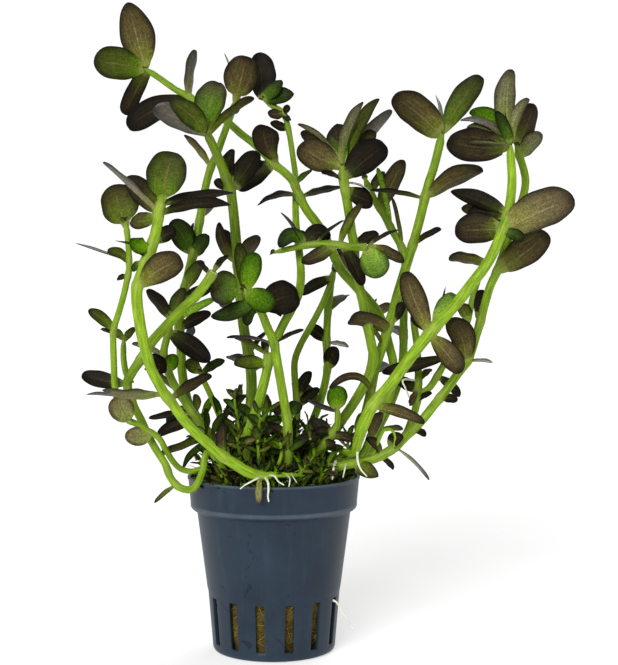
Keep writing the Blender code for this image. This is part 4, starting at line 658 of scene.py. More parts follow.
        Leaf((47.6, 81.2), (42.3, 77), 3.2, 150, -6, 0.4, "brown", ahead=1.0),
        Leaf((45.2, 84), (49.3, 88), 3.6, 60, 2, 0, "olive"),
        Leaf((43.4, 105.5), (47.5, 102.5), 3.6, 40, -2),
        Leaf((43.3, 105.8), (40.3, 110.5), 3.2, 120, -1),
    ],
    "stem_right_branch": [
        Leaf((66.6, 120.4), (54.4, 122.5), 6.4, 124, 1, 0, "brown", shape="strap"),
        Leaf((54.5, 92), (33.8, 86.8), 5.0, 42, -2, 0.8, "dark", "leaf_branch_left", 2.0),
        Leaf((51, 86), (58.3, 79.5), 4.0, 40, 3),
        Leaf((60.3, 103), (58.5, 108.5), 4.6, 150, -2, 0, "olive"),
    ],
    "shoot_base": [
        Leaf((19.8, 75.2), (19.2, 82.8), 6.6, 12, -2, 0, "bright", ahead=0.4, shape="round"),
        Leaf((19.9, 74.6), (10.4, 78.2), 3.4, 66, -2, 0.8),
        Leaf((18.5, 68), (11.6, 72.6), 4.4, 26, 1, 0.6, shape="point"),
        Leaf((18.4, 67.6), (13, 67.8), 3.4, 40, -2, -0.5, shape="point"),
        Leaf((17.6, 66.4), (25, 65.2), 4.2, 140, -3, 0.5, "dusk"),
        Leaf((15.4, 64.2), (19.4, 63.2), 3.8, 140, -4, 0.4, "dusk"),
    ],
    "stem_left_short": [
        Leaf((-23, 86.4), (-15.2, 90.6), 4.4, 50, -1, 0, "deep"),
        Leaf((-22.9, 87), (-27.5, 90.5), 4.6, 25, -2, 0, "green"),
        Leaf((-15.6, 71.4), (-8.3, 79.8), 3.6, 50, -2, 1.0, shape="point"),
        Leaf((-16.4, 72.6), (-19.2, 79.6), 2.8, 40, -2, 0, "deep", shape="point"),
        Leaf((-12, 65.4), (-16.4, 73.8), 3.8, 30, -3, 0.3, "deep", shape="point"),
        Leaf((-11.4, 64.4), (-19, 67), 2.6, 50, -2, 0, "green", shape="point"),
    ],
    "stem_left_back": [
        Leaf((-32, 103.5), (-39.7, 112.7), 5.2, 150, 1),
        Leaf((-33, 100), (-20, 90.3), 6.6, 18, -5, 0, "dark", "leaf_left_inner"),
        Leaf((-32.2, 103), (-27.8, 113.3), 5.0, 25, 2, 0, "green"),
        Leaf((-33.2, 87.6), (-30.6, 92.6), 4.6, 15, -3, 0, "bright"),
        Leaf((-34.2, 92), (-44.3, 96), 3.6, 60, 2, 0, "grey"),
        Leaf((-29.5, 80), (-40.5, 88), 5.4, 120, 4, 0, "olive"),
        Leaf((-25.6, 74.6), (-39.2, 72.6), 4.2, 60, 3, 0.8),
        Leaf((-24, 72.2), (-36.4, 67.2), 4.6, 30, 2, -0.6),
        Leaf((-19.6, 67), (-36, 61), 4.4, 130, -2, 0.8, "olive", shape="strap"),
        Leaf((-18.6, 66), (-28.6, 64.6), 3.0, 40, 1, -0.8, "green", shape="point"),
        Leaf((-21, 68.8), (-21.6, 75.8), 2.4, 40, -3, 0, "deep", shape="point"),
        Leaf((-20, 67.4), (-15.2, 74.4), 3.0, 40, -4, 0, "deep", shape="point"),
        Leaf((-17.4, 64.8), (-28.6, 56.2), 3.6, 50, -3, -1.6, "deep", shape="point"),
    ],
    "stem_rear_left": [
        Leaf((-11, 121), (-17, 131), 7.0, 150, 10),
        Leaf((-11, 120.5), (-4, 129), 7.0, 140, 12, 0, "brown"),
        Leaf((-9.7, 105), (-17, 108), 6.4, 130, 12, 0, "brown"),
        Leaf((-9.5, 104), (-1, 108.5), 6.4, 60, 11),
        Leaf((-7.4, 88), (-14, 92), 6.0, 60, 11),
        Leaf((-7.4, 87), (0, 90.5), 6.0, 120, 10, 0, "olive"),
    ],
    "stem_rear_middle": [
        Leaf((25.7, 118.5), (19, 125), 7.0, 150, 11, 0, "brown"),
        Leaf((25.7, 118), (33, 124.5), 7.0, 140, 12),
        Leaf((28.7, 104), (31, 109), 6.4, 60, 14),
        Leaf((28.9, 103), (37, 107), 6.4, 130, 11, 0, "brown"),
        Leaf((29.7, 88), (33.4, 92), 6.0, 120, 13, 0, "olive"),
        Leaf((29.4, 87), (37, 88.5), 6.0, 60, 12),
    ],
}

ROOTS = {
    "stem_front_arch": [
        Root([(-3.8, 54.2), (-5.6, 53.4), (-7.8, 52.2), (-9.4, 51.3), (-10.6, 50.2)], -5, 0.8),
        Root([(-2.8, 54), (-1.9, 52.4), (-1.7, 50), (-1.9, 48), (-1.6, 46.2)], -5, 1.0),
        Root([(-1.6, 54.6), (0.2, 54.3), (1.4, 52.6), (3.2, 51.5)], -5, 0.85),
        Root([(4.1, 54.8), (5.0, 53.4), (4.7, 51)], -7, 0.7),
        Root([(5.4, 55.2), (6.2, 53.8), (7.2, 52.2)], -8, 0.5),
    ],
    "stem_right_front": [
        Root([(26.2, 63), (26.2, 59.5), (27.2, 56.5), (29.2, 54.2)], -2),
    ],
    "stem_right_inner": [
        Root([(45, 84.4), (40.4, 84.6), (41.3, 81.6), (42.8, 78.2), (44.9, 74.2)], -3, 0.8),
    ],
    "stem_right_low": [
        Root([(30.6, 60.2), (33.6, 67.4), (35, 69.1), (37, 68.7), (38, 66.6), (37.6, 63.4)], -2, 1.5,
             "stem_green"),
        Root([(22.6, 58.4), (22.2, 56.4), (21.6, 53.8)], -5, 0.8),
        Root([(19.4, 58.8), (18.7, 56.8), (18.3, 53.2)], -9, 1.1),
    ],
}

# Side stems, fused to the stem that each grows from
TWIGS = {
    "stem_left_loop": [
        Stem("twig_left_upright", [(-44.4, 83.4), (-46.1, 86.6), (-46.9, 91.4), (-46.8, 97.4)],
             (-10, -10, -9), (1.9, 2.0, 1.8)),
    ],
}

# The face that shows from the front, and the one behind it, for each tone of blade
TONES = {
    "bright": ("leaf_bright", "leaf_olive"),
    "green": ("leaf_green", "leaf_brown"),
    "fresh": ("leaf_olive", "leaf_green"),
    "olive": ("leaf_olive", "leaf_dusky"),
    "pale": ("leaf_pale", "leaf_pale"),
    "brown": ("leaf_brown", "leaf_dusky"),
    # grey: a brown blade whose seen face is painted grey as a sheen
    "grey": ("leaf_grey", "leaf_dark"),
    "dark": ("leaf_dark", "leaf_dusky"),
    "deep": ("leaf_deep", "leaf_dark"),
    "stemmy": ("leaf_lime", "leaf_lime"),
    "dusk": ("leaf_dusk", "leaf_dusky"),
    "sage": ("leaf_sage", "leaf_grey"),
    "turning": ("leaf_turning", "leaf_brown"),
    "light": ("leaf_light", "leaf_olive"),
    # tan: the brown underside painted lighter, as a painted highlight
    "tan": ("leaf_tan", "leaf_dusky"),
    "young": ("leaf_deep", "leaf_bright"),
    "young_green": ("leaf_deep", "leaf_green"),
}
# The record's finish for a named leaf of each tone
LEAF_SLOTS = {
    "bright": "leaf_green", "green": "leaf_green", "turning": "leaf_green", "olive": "leaf_brown",
    "brown": "leaf_brown", "dusk": "leaf_brown", "grey": "leaf_brown", "sage": "leaf_brown",
    "dark": "leaf_dark", "light": "leaf_green", "tan": "leaf_brown",
}
# The tones of the bed's leaves, drawn at random, so a tone that stands here twice comes twice as often
BED_TONES = ("dark", "deep", "young", "young_green", "young_green", "fresh", "olive")
SHOOT_TONES = ("dark", "young", "young", "young_green", "young_green", "young_green", "fresh")
STRAND_FINISHES = ("moss_green", "moss_green", "moss_dark", "moss_pale")
# Painted light on the bed's leaves, lighter than their own colour to offset the shade among them
BED_PAINTED_LIGHT = 1.35

# Young shoots that show at the front of the bed: across, up, depth and height
FRONT_SHOOTS = [
    (-14, 57, -12, 8.0), (-11, 58, -8, 9.5), (-4, 58, -15, 6.5), (-1.5, 59, -8, 11.0), (1.5, 58, -17, 7.0),
    (8, 59, -10, 9.0), (12.5, 58, -15, 8.5), (15.5, 58, -8, 10.5), (23, 58, -6, 9.0),
    (10, 59, 2, 12.0), (3, 59, 4, 12.5), (-6, 59, 5, 12.0), (18, 58, 5, 11.0),
]

# Painted light and shade on each stem: lighter on the stems in front, darker on those behind and in shade,
# and the same for any other stem
STEM_PAINTED_LIGHT = {
    "stem_front_arch": 1.08, "stem_left_loop": 0.88, "stem_left_thin": 0.9, "stem_centre_dark": 0.55,
    "stem_centre_back": 0.8, "stem_fork_left": 0.92, "stem_fork_right": 0.8, "stem_front_short": 0.95,
    "stem_right_front": 1.05, "stem_right_low": 0.88, "stem_right_tall": 0.82, "stem_long_diagonal": 0.8,
}
OTHER_STEM_PAINTED_LIGHT = 0.78

# Stems that end in a blunt cut, and the tone of a growing tip
CUT_STEMS = ("stem_left_loop", "stem_front_short")
TIP_TONES = {"stem_fork_left": "bright"}
OTHER_TIP_TONE = "fresh"

# Colours as a screen shows them
JOINT_PALE = (140, 150, 74)
POT_PLASTIC = (38, 52, 66)
POT_DEEP = (31, 43, 56)
POT_LIGHT = (52, 66, 80)
# The lighter colour of the scuffs, and of the painted highlight at the rim
POT_SCUFF_AND_HIGHLIGHT = (92, 106, 118)
POT_SMUDGE = (18, 25, 34)
PAPER_LOW = (226, 226, 225)
PAPER_HIGH = (232, 232, 232)
VEINS_ACROSS = 4.0
PLAIN_RELIEF = 0.00006

# The studio, in metres: the floor, and how bright the white room is for light, for gloss and to the eye
FLOOR_RADIUS = 3.0
FLOOR_DROP = 0.00002
FLOOR_GLOW = 0.45
ROOM_LIGHT = 0.32
ROOM_SHEEN = 0.6
ROOM_SEEN = 1.03
PLANT_MIDDLE = (0.011, 0.0, 0.11)

# The soft windows of the studio: where each stands, its strength, and how wide it is in degrees
WINDOWS = [
    ("front_window", (-0.25, -0.80, 0.55), 2.3, 30.0),
    ("rear_window", (0.35, 0.75, 0.60), 1.0, 40.0),
]


def place(across, up, depth):
    """The point that shows at (across, up) from the front and lies at this depth."""
    reach = 1.0 + depth / EYE_DISTANCE
    return Vector((
        EYE_ACROSS + (across - EYE_ACROSS) * reach,
        depth,
        EYE_UP + (up - EYE_UP) * reach,
    ))


def along(values, share):
    """The value at this share, 0 to 1, of a list of values spaced evenly."""
    position = share * (len(values) - 1)
    index = min(int(position), len(values) - 2)
    part = position - index
    return values[index] * (1.0 - part) + values[index + 1] * part


def smooth_curve(points):
    """Close points along a Catmull-Rom curve through the given ones."""
    ends = [points[0] * 2 - points[1], *points, points[-1] * 2 - points[-2]]
    curve = []
    for a, b, c, d in zip(ends, ends[1:], ends[2:], ends[3:]):
        for sample in range(FINE_SAMPLES):
            t = sample / FINE_SAMPLES
            curve.append(0.5 * (
                2 * b + (c - a) * t + (2 * a - 5 * b + 4 * c - d) * t ** 2
                + (3 * b - a - 3 * c + d) * t ** 3
            ))
    curve.append(points[-1])
    return curve


def lengths_of(curve):
    """How far along the curve each of its points lies."""
    total = [0.0]
    for a, b in zip(curve, curve[1:]):
        total.append(total[-1] + (b - a).length)
    return total


def smooth_step(low, high, value):
    """Rises smoothly from 0 to 1 as the value goes from low to high."""
    part = min(max((value - low) / (high - low), 0.0), 1.0)
    return part * part * (3.0 - 2.0 * part)


class Path:
    """A smooth centre line that can be read by the distance along it."""

    def __init__(self, points):
        self.curve = smooth_curve(points)
        self.lengths = lengths_of(self.curve)
        self.whole = self.lengths[-1]

    def index_at(self, distance):
        """The curve's first point at or past this distance."""
        low, high = 1, len(self.curve) - 1
        while low < high:
            middle = (low + high) // 2
            if self.lengths[middle] < distance:
                low = middle + 1
            else:
                high = middle
        return low

    def at(self, distance):
        index = self.index_at(distance)
        span = self.lengths[index] - self.lengths[index - 1]
        part = min(max((distance - self.lengths[index - 1]) / span, 0.0), 1.0)
        return self.curve[index - 1].lerp(self.curve[index], part)

    def frames(self, step, start=0.0):
        """Distances, centres, tangents and untwisted sides at even steps."""
        count = max(2, round((self.whole - start) / step))
        distances = [start + (self.whole - start) * index / count for index in range(count + 1)]
        centres = [self.at(distance) for distance in distances]
        side = None
        made = []
        for index, centre in enumerate(centres):
            tangent = (centres[min(index + 1, count)] - centres[max(index - 1, 0)]).normalized()
            side = tangent.orthogonal() if side is None else side
            side = (side - tangent * side.dot(tangent)).normalized()
            made.append((distances[index], centre, tangent, side))
        return made


class Growth(Path):
    """A stem's smooth centre line, with what a blade needs to know to sit on it."""

    def __init__(self, stem):
        self.stem = stem
        last = len(stem.route) - 1
        places = [
            place(across, up, along(stem.depth, index / last))
            for index, (across, up) in enumerate(stem.route)
        ]
        self.widths = [along(stem.width, index / last) for index in range(last + 1)]
        if stem.foot:
            inner_edge = math.hypot(*stem.foot) - stem.width[0] / 2
            places.insert(0, Vector((*stem.foot, bed_height(inner_edge) + GAP)))
            self.widths.insert(0, stem.width[0])
        super().__init__(places)
        self.nodes = []

    def width_at(self, distance):
        return along(self.widths, self.index_at(distance) / (len(self.curve) - 1))

    def nearest(self, across, up):
        """The place on the centre line that shows nearest to a point from the front."""
        def apart(index):
            point = self.curve[index]
            reach = 1.0 + point.y / EYE_DISTANCE
            shown_across = EYE_ACROSS + (point.x - EYE_ACROSS) / reach
            shown_up = EYE_UP + (point.z - EYE_UP) / reach
            return math.hypot(shown_across - across, shown_up - up)

        index = min(range(len(self.curve)), key=apart)
        before = self.curve[max(index - 1, 0)]
        after = self.curve[min(index + 1, len(self.curve) - 1)]
        radius = along(self.widths, index / (len(self.curve) - 1)) / 2
        return self.curve[index], (after - before).normalized(), radius, self.lengths[index]


def bed_height(radius):
    """How high the bed stands this far from the pot's axis."""
    outline = [*BED, (0.0, BED_TOP)]
    for (outer, low), (inner, high) in zip(outline, outline[1:]):
        if radius >= inner:
            part = min((outer - radius) / (outer - inner), 1.0)
            return low + (high - low) * max(part, 0.0)
    return BED_TOP


def drift(rng, reach, rise=0.0):
    """A random step sideways, with this rise."""
    return Vector((rng.uniform(-reach, reach), rng.uniform(-reach, reach), rise))


def outward(angle):
    """The level way out from the pot's axis at this angle."""
    return Vector((math.cos(angle), math.sin(angle), 0.0))


def new_object(name, data):
    """An object of this mesh, lamp or camera, in the scene."""
    obj = bpy.data.objects.new(name, data)
    bpy.context.scene.collection.objects.link(obj)
    return obj


def new_mesh(name, points, faces):
    """A mesh from points in millimetres."""
    mesh = bpy.data.meshes.new(name)
    mesh.from_pydata([tuple(MM * value for value in point) for point in points], [], faces)
    return mesh


class Form:
    """The points and faces of one piece, with the places and tints that its finishes read.

    A place says where a point lies on its blade or stem. A tint holds how green and how light its
    blade or stem is, and a number of its own that shifts its pattern.
    """

    def __init__(self):
        self.points = []
        self.places = []
        self.tints = []
        self.faces = []
        self.finishes = []
        self.used = []

    def finish_index(self, name):
        if name not in self.used:
            self.used.append(name)
        return self.used.index(name)

    def add(self, points, places, tint, faces, finish):
        """Adds a shell. Finish is a finish's name for all faces, or a list with one for each."""
        start = len(self.points)
        self.points += points
        self.places += places
        self.tints += [tint] * len(points)
        self.faces += [tuple(start + corner for corner in face) for face in faces]
        names = [finish] * len(faces) if isinstance(finish, str) else finish
        self.finishes += [self.finish_index(name) for name in names]

    def made(self, name):
        """The piece as one object, with its finishes, places and tints."""
        mesh = new_mesh(name, self.points, self.faces)
        for finish in self.used:
            mesh.materials.append(FINISHES[finish])
        mesh.polygons.foreach_set("material_index", self.finishes)
        mesh.polygons.foreach_set("use_smooth", [True] * len(self.faces))
        where = mesh.attributes.new("growth_place", "FLOAT_VECTOR", "POINT")
        where.data.foreach_set("vector", [value for point in self.places for value in point])
        tint = mesh.attributes.new("growth_tint", "FLOAT_COLOR", "POINT")
        tint.data.foreach_set("color", [value for colour in self.tints for value in (*colour, 1.0)])
        work = bmesh.new()
        work.from_mesh(mesh)
        bmesh.ops.recalc_face_normals(work, faces=work.faces)
        work.to_mesh(mesh)
        work.free()
        return new_object(name, mesh)


def dress(obj, slot, *nodes):
    """Lets the piece stand for its nodes: hangs it under the root body and hides their solids. Its slot,
    the record's finish, is not used.
    """
    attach(obj, "root")
    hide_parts(*nodes)


def tint_of(rng, light=1.0):
    """A blade's own greenness, its lightness times the given light, which for the bed's leaves is painted
    light, and its pattern shift.
    """
    return 0.5 + rng.uniform(-0.3, 0.3), light * rng.uniform(0.84, 1.16), rng.random()


def band(low, high, sides):
    """The faces between two closed rings of points, by the number of each ring's first point."""
    pairs = [(corner, (corner + 1) % sides) for corner in range(sides)]
    return [(low + corner, low + beside, high + beside, high + corner) for corner, beside in pairs]


def ring_faces(rings, sides):
    """The faces between closed rings of points, and the first and last ring closed."""
    faces = [tuple(range(sides)), tuple(range((rings - 1) * sides, rings * sides))]
    for ring in range(rings - 1):
        faces += band(ring * sides, (ring + 1) * sides, sides)
    return faces


def thread(form, path, width, narrowing, sides, step, tint, finish):
    """A closed thin tube along a path, as wide as this at its start and narrower by this at its end."""
    points, places = [], []
    made = path.frames(step)
    for distance, centre, tangent, side in made:
        across = tangent.cross(side)
        radius = 0.5 * (width - narrowing * (distance / path.whole))
        for corner in range(sides):
            angle = 2 * math.pi * corner / sides
            points.append(centre + radius * (math.cos(angle) * side + math.sin(angle) * across))
            places.append((corner / sides, distance, 0.0))
    form.add(points, places, tint, ring_faces(len(made), sides), finish)


def stem_form(form, growth, tint, blunt=False):
    """A stem, swollen a little at its nodes and ribbed lengthwise, with a soft tip."""
    rng = random.Random(growth.stem.name)
    turn = rng.uniform(0.0, math.tau)
    start = growth.stem.trim * TRIM_SHARE
    points, places = [], []
    rings = growth.frames(STEM_STEP, start)
    if growth.stem.foot:
        distance, centre, tangent, side = rings[0]
        rings.insert(0, (distance, centre - Vector((0, 0, ROOTED_DEPTH)), tangent, side))
    for distance, centre, tangent, side in rings:
        across = tangent.cross(side)
        nearness = max(
            [math.exp(-((distance - node) / NODE_REACH) ** 2) for node in growth.nodes], default=0.0
        )
        radius = 0.5 * growth.width_at(distance) * (1.0 + NODE_SWELL * nearness)
        radius *= 1.0 + UNEVENNESS * noise.noise(centre * 0.25)
        left = growth.whole - distance
        if not blunt:
            radius *= 0.5 + 0.5 * smooth_step(0.0, SOFT_TIP, left)
        elif left < CUT_EDGE:
            radius *= CUT_EDGE_SHARE
        for corner in range(STEM_SIDES):
            angle = 2 * math.pi * corner / STEM_SIDES
            ribbed = radius * (1.0 + RIBBING * math.cos(4 * angle + turn + 0.02 * distance))
            points.append(centre + ribbed * (math.cos(angle) * side + math.sin(angle) * across))
            places.append((corner / STEM_SIDES, distance, nearness))
    faces = ring_faces(len(rings), STEM_SIDES)
    names = ["stem_green"] * len(faces)
    if blunt:
        names[1] = "cut_pith"
    form.add(points, places, tint, faces, names)
    stem_hairs(form, growth, tint, start)


def stem_hairs(form, growth, tint, start):
    """Short pale hairs that stand out from a stem."""
    rng = random.Random(growth.stem.name + " hairs")
    points, places, faces = [], [], []
    rings = growth.frames(STEM_STEP, start)
    for _ in range(int((growth.whole - start) * HAIRS_PER_MM)):
        distance, centre, tangent, side = rings[rng.randrange(1, len(rings) - 1)]
        angle = rng.uniform(0.0, math.tau)
        out = math.cos(angle) * side + math.sin(angle) * tangent.cross(side)
        beside = tangent.cross(out)
        radius = 0.5 * growth.width_at(distance)
        foot = centre + tangent * rng.uniform(0.0, STEM_STEP) + out * radius * 0.9
        tip = foot + (out + tangent * rng.uniform(-0.3, 0.7)).normalized() * rng.uniform(0.45, 0.95)
        low = len(points)
        points += [foot + beside * HAIR_HALF_WIDTH, foot - beside * HAIR_HALF_WIDTH,
                   foot + tangent * HAIR_DEPTH, tip]
        places += [(0.0, distance, 0.0)] * 4
        faces += [(low, low + 1, low + 3), (low + 1, low + 2, low + 3), (low + 2, low, low + 3),
                  (low, low + 2, low + 1)]
    form.add(points, places, tint, faces, "hair_pale")


def blade_half_width(share, shape):
    """Half a blade's width as a share of its greatest, from its base at 0 to its tip at 1."""
    base, widest, fullness, bluntness, straightness = BLADE_SHAPES[shape]
    if share < widest:
        return base + (1.0 - base) * math.sin(0.5 * math.pi * share / widest) ** fullness
    beyond = (share - widest) / (1.0 - widest)
    return max(0.0, 1.0 - beyond ** bluntness) ** straightness


def blade_form(form, foot, start, tip, width, roll, bow, finishes, rng, tint, fineness, wave, shape,
               sunk=0.0):
    """A thin fleshy blade between two points, cupped towards its upper side.

    Its foot is where it leaves its stem, and start is where the blade proper begins. Sunk is how much
    of it lies inside the stem. The midrib is a groove above and a rib below, and faint ribs run beside
    it from the base to the tip.
    """
    run = tip - start
    heading = run.normalized()
    facing = Vector((0, -1, 0))
    facing = (facing - heading * facing.dot(heading)).normalized()
    turn = math.radians(roll) * (-1.0 if heading.x > 0 else 1.0)
    normal = Matrix.Rotation(turn, 3, heading) @ facing
    swing = Vector((-heading.z, 0, heading.x)).normalized() * bow
    control = (start + tip) / 2 + 2 * (swing + normal * BLADE_ARCH * run.length)
    rows, columns = fineness
    stalk = (start - foot).length
    whole = stalk + run.length
    left_phase, right_phase, *_ = [rng.uniform(0.0, math.tau) for _ in range(4)]
    waves = rng.uniform(1.6, 2.8)
    twist = rng.uniform(-BLADE_TWIST, BLADE_TWIST)
    reach = 0.5 * width * wave * 0.3
    fleshy = min(1.0, 0.14 * width + 0.25)
    points, places = [], []
    for row in range(rows):
        travelled = whole * (1.0 - (1.0 - row / rows) ** ROW_CROWDING) if row else 0.0
        if travelled < stalk:
            centre = foot.lerp(start, travelled / stalk)
            slope = heading
            share = 0.0
            fullness = 0.4 + 0.6 * (travelled / stalk) ** 0.7
        else:
            share = (travelled - stalk) / run.length
            centre = start * (1 - share) ** 2 + control * 2 * share * (1 - share) + tip * share ** 2
            slope = ((control - start) * (1 - share) + (tip - control) * share).normalized()
            fullness = 1.0
        up = (normal - slope * normal.dot(slope)).normalized()
        up = Matrix.Rotation(twist * share, 3, slope) @ up
        side = slope.cross(up)
        half = 0.5 * width * blade_half_width(share, shape) * fullness
        thick = 0.5 * BLADE_THICKNESS * fleshy * (0.45 + 0.55 * blade_half_width(share, shape))
        beyond_stem = max(travelled - sunk, 0.0) / (whole - sunk)
        for upper in (True, False):
            way = 1.0 if upper else -1.0
            midrib = -MIDRIB_GROOVE if upper else -MIDRIB_HEIGHT
            for column in range(columns + 1 if upper else columns - 1):
                step = column if upper else columns - 1 - column
                s = -math.cos(math.pi * step / columns)
                edge = abs(s)
                lift = BLADE_CUP * half * edge ** 1.5
                ripple = math.sin(math.tau * waves * share + (left_phase if s < 0 else right_phase))
                lift += reach * edge ** 2 * ripple * smooth_step(0.05, 0.3, share)
                body = thick * math.sqrt(max(0.0, 1.0 - s * s)) * way
                rib = math.exp(-(s * half / MIDRIB_REACH) ** 2) * smooth_step(1.0, 0.45, share)
                ribs = SIDE_RIB_HEIGHT * math.cos(s * 3.2 * math.pi) * smooth_step(0.98, 0.7, edge)
                relief = midrib * rib + ribs * way
                points.append(centre + side * (s * half) + up * (lift + body + relief * fleshy))
                places.append((s, beyond_stem, half))
    sides = 2 * columns
    points.append(tip)
    places.append((0.0, 1.0, 0.0))
    faces = [tuple(range(sides))]
    for row in range(rows - 1):
        faces += band(row * sides, (row + 1) * sides, sides)
    last = (rows - 1) * sides
    for corner in range(sides):
        faces.append((last + corner, last + (corner + 1) % sides, len(points) - 1))
    upper_finish, under_finish = finishes
    names = [under_finish] + ([upper_finish] * columns + [under_finish] * columns) * rows
    form.add(points, places, tint, faces, names)


def leaf_form(form, growth, leaf):
    """A blade of the table, grown out of its stem."""
    rng = random.Random(f"{growth.stem.name} {leaf.base} {leaf.tip}")
    middle, tangent, radius, distance = growth.nearest(*leaf.base)
    growth.nodes.append(distance)
    tip = place(*leaf.tip, middle.y + leaf.lean - leaf.ahead)
    foot = middle
    middle = middle - Vector((0, leaf.ahead, 0))
    heading = (tip - middle).normalized()
    crossing = max(heading.cross(tangent).length, LEAST_CROSSING)
    if leaf.name:
        start = middle + heading * (radius + LARGE_BLADE_CLEARANCE) / crossing
    else:
        start = middle + heading * radius * 0.6
    seen, hidden = TONES[leaf.tone]
    finishes = (seen, hidden) if leaf.roll < 90 else (hidden, seen)
    fineness = SHORT_BLADE_FINENESS
    if leaf.name:
        fineness = NAMED_BLADE_FINENESS
    elif (tip - start).length > LONG_BLADE:
        fineness = LONG_BLADE_FINENESS
    blade_form(form, foot, start, tip, leaf.width, leaf.roll, leaf.bow, finishes, rng, tint_of(rng),
               fineness, BLADE_WAVE, leaf.shape, radius / crossing)


def paint(red, green, blue):
    """A colour as a screen shows it, for a shader."""
    def linear(value):
        value = value / 255
        return value / 12.92 if value <= 0.04045 else ((value + 0.055) / 1.055) ** 2.4

    return (linear(red), linear(green), linear(blue), 1.0)


class Recipe:
    """Sets nodes down in one tree and joins them, so that a finish reads from top to bottom."""

    def __init__(self, tree):
        self.tree = tree

    def node(self, kind, *values, out=0, **settings):
        """A node with its first inputs filled in order, and one of its outputs to pass on."""
        made = self.tree.nodes.new(kind)
        for name, value in settings.items():
            setattr(made, name, value)
        for socket, value in zip(made.inputs, values):
            self.feed(socket, value)
        return made.outputs[out]

    def feed(self, socket, value):
        """Joins a node's output to the socket, or sets the socket to a plain value."""
        if isinstance(value, bpy.types.NodeSocket):
            self.tree.links.new(value, socket)
        elif value is not None:
            socket.default_value = value

    def math(self, operation, *values):
        return self.node("ShaderNodeMath", *values, operation=operation)

    def plus(self, first, second):
        return self.math("ADD", first, second)

    def minus(self, first, second):
        return self.math("SUBTRACT", first, second)

    def times(self, first, second):
        return self.math("MULTIPLY", first, second)

    def size_of(self, value):
        return self.math("ABSOLUTE", value)

    def rise(self, value, low, high, bottom=0.0, top=1.0):
        """The value carried smoothly from the range low to high into bottom to top."""
        return self.node(
            "ShaderNodeMapRange", value, low, high, bottom, top, interpolation_type="SMOOTHSTEP"
        )

    def blend(self, share, first, second, way="MIX"):
        made = self.tree.nodes.new("ShaderNodeMix")
        made.data_type = "RGBA"
        made.blend_type = way
        for index, value in ((0, share), (6, first), (7, second)):
            self.feed(made.inputs[index], value)
        return made.outputs[2]

    def cloud(self, vector, scale, detail=3.0, roughness=0.55, distortion=0.0):
        made = self.tree.nodes.new("ShaderNodeTexNoise")
        for name, value in (("Vector", vector), ("Scale", scale), ("Detail", detail),
                            ("Roughness", roughness), ("Distortion", distortion)):
            self.feed(made.inputs[name], value)
        return made.outputs[0]

    def stretched(self, vector, scale):
        return self.node("ShaderNodeVectorMath", vector, scale, operation="MULTIPLY")

    def parts(self, vector):
        made = self.tree.nodes.new("ShaderNodeSeparateXYZ")
        self.feed(made.inputs[0], vector)
        return made.outputs

    def vector(self, x, y, z):
        return self.node("ShaderNodeCombineXYZ", x, y, z)

    def stored(self, name, out="Vector"):
        """What the mesh holds under this name at each of its points."""
        made = self.tree.nodes.new("ShaderNodeAttribute")
        made.attribute_name = name
        return made.outputs[out]

    def where(self):
        """Where a point lies on its piece, in metres."""
        return self.node("ShaderNodeTexCoord", out=3)

    def effect(self, kind, **values):
        """One of the shared effects, with this finish's own values."""
        made = self.tree.nodes.new("ShaderNodeGroup")
        made.node_tree = EFFECTS[kind]
        for name, value in values.items():
            self.feed(made.inputs[name.replace("_", " ")], value)
        return made.outputs

    def tint(self):
        """How green and how light the blade or stem is, and the shift of its pattern."""
        split = self.node("ShaderNodeSeparateColor", self.stored("growth_tint", "Color"))
        return tuple(split.node.outputs[index] for index in range(3))

    def shaded(self, colour, pattern, depth, light=1.0):
        """The colour made lighter and darker by a pattern, and then as light as this."""
        return self.effect("shade", Colour=colour, Pattern=pattern, Depth=depth, Light=light)["Colour"]

    def over(self, colour, share, strength, top):
        """The colour with a screen colour over it, where the share is high and as strongly as this."""
        return self.blend(self.times(share, strength), colour, paint(*top))

    def relief(self, height, depth, strength):
        """A fine relief of this depth in metres, for a surface."""
        made = self.tree.nodes.new("ShaderNodeBump")
        made.inputs["Strength"].default_value = strength
        made.inputs["Distance"].default_value = depth
        self.feed(made.inputs["Height"], height)
        return made.outputs[0]

    def surface(self, shader, colour, rough, relief):
        """Gives the shader its colour, its roughness and its relief."""
        self.feed(shader.inputs["Base Color"], colour)
        self.feed(shader.inputs["Roughness"], rough)
        self.feed(shader.inputs["Normal"], relief)


def shared_effect(name, inputs, outputs):
    """An empty effect with named inputs and outputs, and the recipe that fills it."""
    tree = bpy.data.node_groups.new(name, "ShaderNodeTree")
    kinds = {"value": "NodeSocketFloat", "colour": "NodeSocketColor", "vector": "NodeSocketVector"}
    for label, kind, value in inputs:
        socket = tree.interface.new_socket(name=label, in_out="INPUT", socket_type=kinds[kind])
        if value is not None:
            socket.default_value = value
    for label, kind in outputs:
        tree.interface.new_socket(name=label, in_out="OUTPUT", socket_type=kinds[kind])
    given = tree.nodes.new("NodeGroupInput").outputs
    result = tree.nodes.new("NodeGroupOutput").inputs
    return tree, Recipe(tree), given, result


